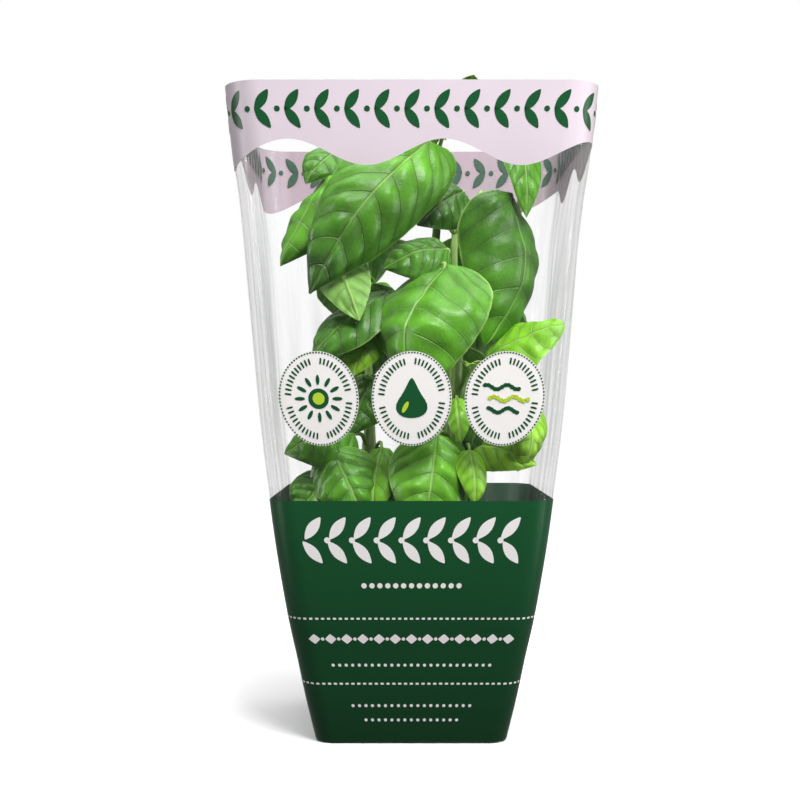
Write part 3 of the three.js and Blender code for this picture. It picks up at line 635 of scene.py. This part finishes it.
def makeSoil():
    # rings of the pot's rounded square from the middle out, lifted by dome (1 - r^2) - drop r^8 and crumbs,
    # then down the sides to the foot
    low, wall, gap = potShape["heights"][0], potShape["wall"], potShape["gap"]
    bottom = low + wall + gap
    inside = np.interp(soilShape["top"], potShape["heights"], potShape["halfWidths"]) - wall - gap
    cols, rings = 160, 60
    x, y, _, _ = outlineAt(columnShares(cols))
    r = np.linspace(0.01, 1, rings)[:, None]
    px, py = x * inside * r, y * inside * r
    lift = soilShape["crumbs"] * slowNoise(px, py, soilShape["seed"])
    lift = lift + soilShape["dome"] * (1 - r**2) - soilShape["edgeDrop"] * r**8
    top = np.stack([px, py, soilShape["top"] + lift], -1)
    footHalf = potShape["halfWidths"][0] - wall
    foot = np.stack([x * footHalf, y * footHalf, np.full_like(x, bottom)], -1)
    points = np.concatenate([*top, *foot, [[0, 0, top[0, :, 2].mean()], [0, 0, bottom]]])
    total = (rings + 1) * cols
    faces = gridFaces(rings + 1, cols, wrapCols=True)[:, ::-1].tolist()
    faces += fanFaces(total, np.arange(cols)).tolist()
    faces += fanFaces(total + 1, np.arange(total - cols, total))[:, ::-1].tolist()
    soil = addMesh("peat", points, faces, [peatMaterial], sharpAbove=75)
    finishPiece(soil, "growing_medium", "soil")


makeSoil()
print("soil made")


leafForm = {
    "veinSweep": 0.4,  # how far the side veins run forward, as a share of what lies ahead of them
    "sweepPower": 1.2,
    "pillow": 0.032,  # height of the swellings over the leaf's width
    "uneven": 0.016,
    "groove": 0.014,
    "teeth": 0.004,
    "toothCount": 11,
    "thick": 0.4,
    "filmGap": 0.9,
    "bushRoom": 2.1,  # from the film to a leaf drawn at random
    "bigAbove": 20,  # width from which a leaf gets the fine grid
    "fineGrid": (56, 33),
    "smallGrid": (22, 13),
}


def seededRandom(seed):
    state = seed
    while True:
        state = (state * 1664525 + 1013904223) % 4294967296
        yield state / 4294967296


def smoothRoute(route, steps=96):
    # centripetal Catmull-Rom curve through the stem's points
    p = np.array(route, float)
    p = np.concatenate([[2 * p[0] - p[1]], p, [2 * p[-1] - p[-2]]])
    pieces = []
    for a, b, c, d in zip(p, p[1:], p[2:], p[3:]):
        t1, t2, t3 = (np.linalg.norm(step) ** 0.5 for step in (b - a, c - b, d - c))
        m1 = ((b - a) / t1 - (c - a) / (t1 + t2) + (c - b) / t2) * t2
        m2 = ((c - b) / t2 - (d - b) / (t2 + t3) + (d - c) / t3) * t2
        u = np.linspace(0, 1, 24, endpoint=False)[:, None]
        pieces.append(cubic(u, b, c, m1, m2))
    line = np.concatenate([*pieces, p[-2:-1]])
    reach = np.concatenate([[0], np.cumsum(np.linalg.norm(np.diff(line, axis=0), axis=1))])
    even = np.linspace(0, reach[-1], steps)
    return np.stack([np.interp(even, reach, line[:, k]) for k in range(3)], -1)


def pointAtHeight(line, height):
    return np.array([np.interp(height, line[:, 2], line[:, k]) for k in range(3)])


def ovate(s):
    # share of the full width: rounded at the stalk, pointed at the tip
    most = 0.3947**0.6 * 0.6053**0.92
    return np.maximum(s**0.6 * (1 - s) ** 0.92 / most, 0.02)


def leafAxes(leaf):
    base, tip, face = (np.array(leaf[k], float) for k in ("base", "tip", "face"))
    chord = tip - base
    length = np.linalg.norm(chord)
    along = chord / length
    out = face - along * (face @ along)
    out = out / np.linalg.norm(out)
    return base, chord, length, along, np.cross(along, out), out


def leafSurface(leaf, s, t):
    # base + chord * s, moved across by w sin(c t) / c and out by the midrib's arch less w (1 - cos(c t)) / c,
    # with w half the width at s and c the cup angle; the edges carry a slow wave, and near the base two lobes
    # bulge back past the stalk by 3 heart * t^2 sqrt(s) (1 - s)^4 of the length; late above 1 moves the
    # widest place towards the tip, and bend bows the whole blade sideways
    base, chord, length, along, across, out = leafAxes(leaf)
    half = leaf["wide"] / 2 * ovate(s ** leaf.get("late", 1.0))
    roll = leaf["cup"] * t
    sideways = half * np.sin(roll) / leaf["cup"] + leaf.get("bend", 0) * length * np.sin(math.pi * s)
    lift = leaf["arch"] * length * 4 * s * (1 - s) * (0.7 + 0.6 * s)
    drop = half * (1 - np.cos(roll)) / leaf["cup"]
    ripple = leaf["wave"] * t * t * np.sin(2 * math.pi * (1.6 * s + 0.25 * np.sign(t))) * ovate(s)
    reach = s - 3 * leaf.get("heart", 0.06) * t * t * np.sqrt(s) * (1 - s) ** 4
    rise = lift - drop + ripple
    return base + chord * reach[..., None] + across * sideways[..., None] + out * rise[..., None]


def heading(azimuth, rise):
    # unit vector towards an azimuth and up by a rise, both in degrees
    a, r = math.radians(azimuth), math.radians(rise)
    return np.array([math.cos(a) * math.cos(r), math.sin(a) * math.cos(r), math.sin(r)])


def leafOutwards(line, wish):
    # a leaf that stands out at an azimuth, its stalk rising and its blade then falling
    turn, fall = wish["azimuth"], wish["droop"]
    base = pointAtHeight(line, wish["joins"]) + wish["stalk"] * (heading(turn, 0) + [0, 0, 0.6])
    tip = base + wish["long"] * heading(turn, -fall)
    return dict(wish, base=base, tip=tip, face=heading(turn, 90 - fall))


def leafFits(leaf, side):
    # whether the leaf keeps inside the film, over the soil and in its stem's own quarter
    s, t = np.meshgrid([0, 0.25, 0.45, 0.7, 1], [-1, 0, 1.0], indexing="ij")
    x, y, z = leafSurface(leaf, s, t).reshape(-1, 3).T
    room = halfWidthAt(z) - leafForm["bushRoom"]
    corner = np.abs(x) + np.abs(y) > room * sleeve["cornerReach"]
    bad = corner | (np.abs(x) > room) | (np.abs(y) > room) | (z < 84) | (x * side < 1.5) | (y < 5)
    return not bad.any()


def bushLeaves(line, bush):
    # leaves up a stem in pairs that look by turns outwards and to the side, drawn at random and shortened
    # until they fit
    draw = seededRandom(bush["seed"])
    side = bush["side"]

    def between(low, high):
        return low + (high - low) * next(draw)

    leaves = []
    for pair in range(bush["pairs"]):
        joins = bush["from"] + (bush["to"] - bush["from"]) * pair / (bush["pairs"] - 1)
        for away in ([95, 40] if pair % 2 else [70, 120]):
            wish = {"azimuth": 90 + side * (90 - away) + between(-12, 12), "joins": joins + between(-4, 4),
                    "long": between(44, 60), "droop": between(28, 62), "stalk": between(8, 17),
                    "arch": between(0.12, 0.2), "cup": between(0.6, 0.95), "wave": between(0.8, 1.8)}
            fits = False
            while not fits and wish["long"] > 24:
                wish["long"] -= 2
                wish["wide"] = wish["long"] * 0.8
                leaf = leafOutwards(line, wish)
                fits = leafFits(leaf, side)
            if fits:
                leaves.append(leaf)
    return leaves


def tuftLeaves(line, tuft):
    # young leaves at a stem's top, in pairs turned a quarter from each other, steeper in the middle
    size, pairs, turn = tuft
    top = line[-1]
    leaves = []
    for pair in range(pairs):
        for side in (0, 180):
            azimuth, rise = turn + side + 90 * pair, 20 + 28 * pair
            length = size * (1 - 0.22 * pair)
            leaves.append({"base": top, "tip": top + length * heading(azimuth, rise),
                           "face": heading(azimuth + 180, 90 - rise), "wide": length * 0.62, "arch": 0.2,
                           "cup": -0.7, "wave": 0.2, "tone": 0.85, "puff": 0.8, "seed": pair / 3})
    return leaves


# a leaf's row: the ends of its midrib, the side that its upper face looks to, its width across the flat
# blade, the midrib's arch, the roll of its halves, its edge waves, where its stalk joins, and its tone,
# partly its youth and partly painted light and shade that makes a leaf paler or darker for how lit it looks;
# puff is how much it swells between the veins, and the last column is painted light and shade along the leaf,
# its tone rising or falling towards the tip
leafKeys = ("base", "tip", "face", "wide", "arch", "cup", "wave", "joins", "tone", "puff", "bend", "heart",
            "late", "veins", "paintedLightAlong")
stems = {
    "leafy_stem_tall": {
        "route": [[-6, -8], [-2, -10, 130], [5, -13, 195], [12, -15, 236], [13, -22, 264], [11, -30, 282]],
        "thick": [3, 1.7],
        "leaves": [
            ([8.7, -39.7, 282], [-46.7, -56.7, 208.6], [-0.06, -1, -0.05],
             60, 0.12, 1.2, 1.4, 276, 0.31, 0.7, 0.05, 0.16, 0.81, 7, -0.38),
            ([-37, -31.4, 272], [-61.3, -42.8, 222.7], [-0.57, -0.56, 0.6],
             47, 0.07, 1.3, 1.2, 252, 0.4, 0.5, -0.05, 0.1, 1.15),
            ([-30, -20, 283], [-50, -37, 262], [-0.3, -0.9, 0.3], 26, 0.15, 0.5, 0.8, 257, 0.25),
            ([-36, -39, 231], [-24, -55, 196.5], [-0.05, 0.88, -0.42], 26, -0.1, -0.4, 1, 232, 0.58),
            ([26, -10, 263], [3, -25, 244], [-0.3, -0.8, -0.1], 31, 0.1, 0.5, 1, 248, 0.1),
            ([-14, -4, 162], [-50, 1, 142], [-0.2, 0.3, 0.9], 30, 0.15, 0.7, 1.4, 154, 0.35),
            ([16, -38, 287], [28, -66, 306.5], [0, 0.35, 0.9], 24, 0.1, 0.5, 0.8, 274, 0.6),
        ],
        "tuft": (13, 2, 60),
    },
    "leafy_stem_right": {
        "route": [[17, -2], [22, -3, 130], [25, -4, 195], [34, -7, 232], [53, -10, 253], [54, -10, 290]],
        "thick": [3, 1.7],
        "leaves": [
            ([50, -14, 296], [55, -31, 247], [0.3, -0.9, 0.15], 21, 0.12, 0.6, 1, 284, 0.35),
            ([48, -26.4, 259.4], [34.5, -35, 185.3], [0.69, -0.51, 0.52],
             69, 0.14, 1.35, 1.2, 246, 0.27, 0.35, -0.08, 0.05, 1.04, 5, 0.4),
            ([38, -16, 258], [53, -20, 206], [0.45, -0.8, 0.35], 38, 0.12, 0.7, 1.4, 250, 0.35),
            ([34, -1, 222], [60, 2, 190], [0.7, 0.1, 0.6], 30, 0.15, 0.7, 1.4, 212, 0.35),
            ([32, -4, 172], [60, -2, 150], [0.5, -0.1, 0.8], 28, 0.15, 0.7, 1.2, 162, 0.4),
            ([34, -18, 252], [34, -20, 262], [-0.2, -0.9, 0.3], 6.5, 0.1, 0.4, 0.2, 246, 0.9),
        ],
        "tuft": (12, 2, 20),
    },
    "leafy_stem_middle": {
        "route": [[2, -24], [3, -28, 130], [4, -33, 180], [6, -36, 207], [13, -38, 219]],
        "thick": [2.8, 1.6],
        "leaves": [
            ([16.3, -47.4, 223.2], [4.6, -59.8, 162.3], [-0.4, -0.66, 0.64],
             73, 0.24, 1.12, 1.2, 205, 0.42, 0.4, 0.07, 0.05, 1.02, 5, 0.15),
            ([17, -39, 231.5], [-13, -47, 221], [0.05, -0.82, 0.56],
             30, 0.14, 0.8, 0.8, 217, 0.25, 0.7),
            ([-11, -37, 211], [-47, -50, 175], [-0.45, -0.72, 0.52], 34, 0.14, 0.8, 1, 202, 0.2, 0.7),
            ([-19, -36, 197], [-27, -47, 171], [0.05, -0.8, 0.6], 20, 0.1, 0.5, 0.8, 186, 0.8),
        ],
        "tuft": (8, 1, 100),
    },
    "leafy_stem_low_left": {
        "route": [[-20, -14], [-22, -18, 110], [-21, -22, 145], [-19, -22, 168]],
        "thick": [2.5, 1.5],
        "leaves": [
            ([-18, -23, 172], [-29, -36, 143], [-0.2, -0.9, 0.35], 31, 0.1, 0.6, 1, 162, 0.2),
            ([-27, -36, 144.5], [-59, -47, 135], [-0.1, -0.75, 0.65], 36, 0.15, 0.8, 1.2, 138, 0.3),
            ([-37, -47, 137], [-22, -57, 105], [0.1, -0.95, 0.2], 34, 0.12, 0.7, 1, 124, 0.36),
            ([-39, -49, 125], [-52, -53, 105], [-0.2, -0.9, 0.3], 28, 0.12, 0.6, 0.8, 106, 0.3),
            ([-31, -12, 112], [-57, -8, 99], [-0.3, 0, 0.9], 24, 0.12, 0.7, 1, 106, 0.35),
            ([-14, -43, 138], [-17, -56, 104], [-0.35, -0.9, 0.1], 19, 0.1, 0.7, 0.6, 126, 0.6),
        ],
        "tuft": (9, 1, 40),
    },
    "leafy_stem_low_right": {
        "route": [[20, -16], [23, -22, 105], [24, -32, 137], [24, -37, 158], [28, -41, 172]],
        "thick": [2.5, 1.5],
        "leaves": [
            ([36, -34.4, 180], [72.5, -46, 195.5], [0.01, -0.66, 0.75],
             46, 0.1, 0.8, 2.5, 164, 0.69, 0.4, 0.04, 0.2, 0.76),
            ([26, -43, 140], [58, -51, 130], [0, -0.8, 0.6], 25, 0.1, 0.6, 0.6, 132, 0.8),
            ([55, -42, 162], [49, -51, 127], [0.65, -0.65, 0.3], 28, 0.2, 0.6, 0.8, 146, 0.8),
            ([27, -51, 137], [29, -58, 112], [0.3, -0.9, 0.3], 16, 0.14, 0.7, 0.6, 126, 0.75),
            ([21, -44, 161], [23, -52, 140], [-0.1, -0.95, 0.2], 12, 0.14, 0.6, 0.5, 150, 0.7),
            ([31, -38, 162], [27, -46, 135], [0.1, -0.95, 0.2], 21, 0.12, 0.6, 0.8, 148, 0.15),
            ([32, -14, 110], [58, -8, 99], [0.3, 0, 0.9], 24, 0.12, 0.7, 1, 104, 0.4),
            ([12, -49, 144], [5, -61, 99], [0.1, -0.95, 0.2], 44, 0.12, 0.8, 1.2, 130, 0.52, 0.7),
        ],
        "tuft": (11, 2, 75),
    },
    "leafy_stem_back_left": {
        "route": [[-16, 16], [-19, 20, 120], [-22, 22, 190], [-24, 22, 256]],
        "thick": [2.8, 1.5],
        "bush": {"from": 102, "to": 248, "pairs": 6, "side": -1, "seed": 62},
        "tuft": (15, 2, 30),
    },
    "leafy_stem_back_right": {
        "route": [[15, 17], [18, 21, 120], [23, 24, 190], [23, 26, 246]],
        "thick": [2.8, 1.5],
        "bush": {"from": 100, "to": 238, "pairs": 6, "side": 1, "seed": 16},
        "tuft": (14, 2, 10),
    },
}


def rollNormals(points):
    # unit normals of a grid (rows along the leaf, columns across it), from its central differences
    ds = np.gradient(points, axis=0)
    dt = np.gradient(points, axis=1)
    n = np.cross(dt, ds)
    return n / np.maximum(np.linalg.norm(n, axis=-1, keepdims=True), 1e-9)


def keepInside(points):
    # what would pass through the film lies flat against it, as a real leaf does; over the rim it is free
    z = points[..., 2]
    room = halfWidthAt(np.clip(z, 0, sleeve["height"])) - leafForm["filmGap"] - sleeve["foldDepth"]
    room = np.where(z > sleeve["height"], np.inf, room)
    plan = np.clip(points[..., :2], -room[..., None], room[..., None])
    over = np.maximum(np.abs(plan).sum(-1), 1e-9)
    plan = plan * np.minimum(room * sleeve["cornerReach"] / over, 1.0)[..., None]
    return np.concatenate([plan, points[..., 2:]], -1)


def bladeMesh(leaf):
    # the leaf's surface swells between its side veins by |sin|^1.2 of the vein count and sinks at the
    # midrib; a second face lies a blade's thickness below, with the midrib standing out of it
    wide, seed = leaf["wide"], leaf.get("seed", 0.0)
    big = wide > leafForm["bigAbove"]
    rows, cols = leafForm["fineGrid"] if big else leafForm["smallGrid"]
    s, t = np.meshgrid(np.linspace(0, 1, rows), np.linspace(-1, 1, cols), indexing="ij")
    _, _, length, _, across, _ = leafAxes(leaf)
    points = leafSurface(leaf, s, t)
    sweep = leafForm["veinSweep"] * np.abs(t) ** leafForm["sweepPower"]
    q = (s - sweep) / (1 - sweep)
    count = leaf.get("veins", 5) if big else 4
    swell = np.abs(np.sin(math.pi * count * q)) ** 1.2
    window = np.clip(np.abs(t) / 0.2, 0, 1) ** 0.7 * (1 - np.abs(t) ** 4)
    ends = np.clip(s / 0.12, 0, 1) * np.clip((1 - s) / 0.15, 0, 1)
    slow = (np.sin(5.1 * s + 2.3 * t + 7 * seed) + 0.7 * np.sin(9.7 * s - 4.1 * t + 11 * seed)
            + 0.45 * np.sin(17 * s + 7.9 * t + 5 * seed) * np.sin(6.3 * t - 13 * s + 3 * seed))
    uneven = 1 + 0.5 * np.sin(9 * q * count / 5 + 8 * t + 19 * seed)
    lumps = (leafForm["pillow"] * leaf["puff"] * swell * window * uneven + leafForm["uneven"] * slow) * ends
    groove = leafForm["groove"] * np.exp(-((t / 0.06) ** 2)) * (1 - s)
    points = points + rollNormals(points) * (wide * (lumps - groove))[..., None]
    teeth = np.clip((np.abs(t) - 0.8) / 0.2, 0, 1) * np.abs(np.sin(math.pi * leafForm["toothCount"] * s))
    points = points + across * (np.sign(t) * leafForm["teeth"] * wide * teeth * ends)[..., None]
    points = keepInside(points)
    half = wide / 2 * ovate(s)
    ribHeight = 0.9 * np.exp(-((half * t / 0.9) ** 2)) * (1 - s) * (0.4 + wide / 60)
    lower = points - rollNormals(points) * (leafForm["thick"] + ribHeight)[..., None]
    upperFaces = gridFaces(rows, cols)
    start = rows * cols
    rim = np.concatenate([np.arange(cols - 1), np.arange(rows - 1) * cols + cols - 1,
                          (rows - 1) * cols + np.arange(cols - 1, 0, -1), np.arange(rows - 1, 0, -1) * cols])
    after = np.roll(rim, -1)
    rimFaces = np.stack([rim, rim + start, after + start, after], -1)
    faces = np.concatenate([upperFaces, upperFaces[:, ::-1] + start, rimFaces])
    kind = np.repeat([0, 1, 0], [len(upperFaces), len(upperFaces), len(rimFaces)])
    blade = np.stack([s * length, half * t], -1).reshape(-1, 2) / 100
    veins = np.stack([count * q, t], -1).reshape(-1, 2)
    # painted light and shade along the leaf: its tone rises or falls from stalk to tip
    tone = leaf["tone"] + leaf.get("paintedLightAlong", 0.0) * (s.ravel() - 0.5)
    return (np.concatenate([points, lower]).reshape(-1, 3), faces, kind, np.tile(blade, (2, 1)),
            np.tile(veins, (2, 1)), np.tile(tone, 2), np.full(2 * start, leaf["puff"]))


def tubeMesh(line, radii, sides, square=0.0):
    # circles of the given radii carried along a line, squared by a share of cos 4a, closed at both ends
    line = np.asarray(line, float)
    radii = np.broadcast_to(radii, len(line))
    ahead = np.gradient(line, axis=0)
    ahead /= np.linalg.norm(ahead, axis=1, keepdims=True)
    first = np.cross(ahead, [0.31, 0.95, 0.05])
    first /= np.linalg.norm(first, axis=1, keepdims=True)
    second = np.cross(ahead, first)
    a = np.linspace(0, 2 * math.pi, sides, endpoint=False)
    r = radii[:, None] * (1 + square * np.cos(4 * a))[None, :]
    ring = (line[:, None] + first[:, None] * (r * np.cos(a))[..., None]
            + second[:, None] * (r * np.sin(a))[..., None])
    caps = np.stack([line[:1].repeat(sides, 0), line[-1:].repeat(sides, 0)])
    rows = np.concatenate([caps[:1], ring, caps[1:]])
    faces = gridFaces(len(rows), sides, wrapCols=True)
    return rows.reshape(-1, 3), faces


def stalkMesh(leaf, line):
    # the stalk leaves the stem up and outwards and runs into the midrib from under the blade
    base, chord, length, along, across, out = leafAxes(leaf)
    start = pointAtHeight(line, leaf["joins"])
    into = leafSurface(leaf, np.array([[0.05]]), np.array([[0.0]]))[0, 0] - out * (0.6 + leaf["wide"] / 45)
    reach = np.linalg.norm(base - start)
    leaving = 0.9 * (base - start) + [0, 0, 0.3 * reach]
    path = cubic(np.linspace(0, 1, 16)[:, None], start, into, leaving, along * min(reach, length) * 1.35)
    thick = 0.75 + leaf["wide"] / 110
    return tubeMesh(path, np.linspace(thick * 1.25, thick * 0.75, len(path)), 12)


def plainPart(mesh):
    # a stem or a stalk: the stem's skin all over, nothing on the leaf maps
    points, faces = mesh
    flat = np.zeros((len(points), 2))
    return points, faces, np.full(len(faces), 2), flat, flat, np.full(len(points), 0.5), np.zeros(len(points))


def makeStem(node, stem, number):
    # stem, stalks and blades as one mesh; the stem swells where the stalks join it
    draw = seededRandom(100 + number)
    (x, y), *rest = stem["route"]
    line = smoothRoute([[x, y, 55], [x, y, 68], [x, y, 83], *rest])
    leaves = [{"puff": 0.65, **dict(zip(leafKeys, row))} for row in stem.get("leaves", [])]
    leaves = leaves or bushLeaves(line, stem["bush"])
    for leaf in leaves:
        leaf.setdefault("tone", 0.25 + 0.5 * next(draw))
        leaf.setdefault("puff", 0.5 + 0.4 * next(draw))
        leaf["seed"] = next(draw)
        leaf["bend"] = leaf.get("bend") or 0.05 * (next(draw) - 0.5)
    joins = np.array([leaf["joins"] for leaf in leaves])
    nodeSwell = np.exp(-(((line[:, 2:3] - joins[None, :]) / 2.2) ** 2)).max(1)
    radii = np.linspace(*stem["thick"], len(line)) * (1 + 0.28 * nodeSwell)
    parts = [plainPart(tubeMesh(line, radii, 20, square=0.05))]
    parts += [plainPart(stalkMesh(leaf, line)) for leaf in leaves]
    parts += [bladeMesh(leaf) for leaf in leaves + tuftLeaves(line, stem["tuft"])]
    points, faces, kinds, *others = zip(*parts)
    starts = np.cumsum([0] + [len(part) for part in points])
    faces = np.concatenate([part + first for part, first in zip(faces, starts)])
    layers = dict(zip(("blade", "veins", "tone", "relief"), map(np.concatenate, others)))
    piece = addMesh("basil_" + node, np.concatenate(points), faces, [leafUpper, leafUnder, stemMaterial],
                    np.concatenate(kinds), layers)
    finishPiece(piece, "basil", node)
    return len(leaves)


leafCount = sum(makeStem(node, stem, number) for number, (node, stem) in enumerate(stems.items()))
print("basil made:", leafCount, "leaves")


def makeStage():
    # a pale floor, and a world that looks white but gives only a soft grey light
    material = newMaterial("paleStudioFloor")[0]
    closeMaterial(material, {"Base Color": toLinear("#f2f2f2"), "Roughness": 0.9})
    reach = stage["floorReach"]
    corners = [(x * reach, y * reach, -0.2) for x, y in ((-1, -1), (1, -1), (1, 1), (-1, 1))]
    floor = addMesh("floor", np.array(corners), [(0, 1, 2, 3)], [material])
    floor.visible_diffuse = False  # so that it throws no light up under the leaves
    floor.visible_glossy = False
    world = bpy.data.worlds.new("softStudio")
    world.use_nodes = True
    tree = world.node_tree
    path = addNode(tree, "LightPath").outputs
    soft = stage["worldLight"]
    shone = mathNode(tree, "MULTIPLY_ADD", path["Is Glossy Ray"], stage["glossWorld"] - soft, soft)
    strength = mathNode(tree, "MAXIMUM", path["Is Camera Ray"], shone)
    tree.nodes["Background"].inputs["Color"].default_value = toLinear("#ffffff")
    tree.links.new(strength, tree.nodes["Background"].inputs["Strength"])
    scene.world = world


def addLamp(name, place, size, power, glossOnly=False):
    # a rectangular softbox that faces the plant; a gloss lamp shows only as a reflection
    lamp = bpy.data.lights.new(name, "AREA")
    lamp.shape, lamp.size, lamp.size_y, lamp.energy = "RECTANGLE", size[0], size[1], power
    holder = bpy.data.objects.new(name, lamp)
    holder.location = place
    holder.rotation_euler = (Vector(stage["lampTarget"]) - Vector(place)).to_track_quat("-Z", "Y").to_euler()
    holder.visible_diffuse = not glossOnly
    scene.collection.objects.link(holder)


stage = {
    "worldLight": 0.12,
    "glossWorld": 0.4,
    "overhead": 3.2,
    "floorReach": 4000.0,
    "lampTarget": (0, 0, 0.17),
}
makeStage()
overhead = bpy.data.lights.new("overheadLight", "SUN")
overhead.energy, overhead.angle = stage["overhead"], math.radians(65)
scene.collection.objects.link(bpy.data.objects.new("overheadLight", overhead))
addLamp("keySoftbox", (0.28, -0.68, 1.0), (0.45, 0.45), 16)
addLamp("leftStrip", (-0.85, -0.15, 0.25), (0.16, 0.9), 2.2)
addLamp("rightStrip", (0.8, -0.35, 0.25), (0.2, 0.9), 3)
addLamp("leftEdgeGloss", (-0.9, -0.3, 0.25), (0.06, 1.0), 7, glossOnly=True)
addLamp("rightEdgeGloss", (0.9, -0.12, 0.25), (0.06, 1.0), 5, glossOnly=True)
scene.view_settings.view_transform = "Standard"

cameraData = bpy.data.cameras.new("photoCamera")
cameraData.sensor_width = 36.0
cameraData.lens = 59.27
camera = bpy.data.objects.new("photoCamera", cameraData)
camera.location = (-5.25 * mm, -659 * mm, 160 * mm)
camera.rotation_euler = (math.radians(90), 0, 0)
scene.collection.objects.link(camera)
scene.camera = camera
print("stage made")
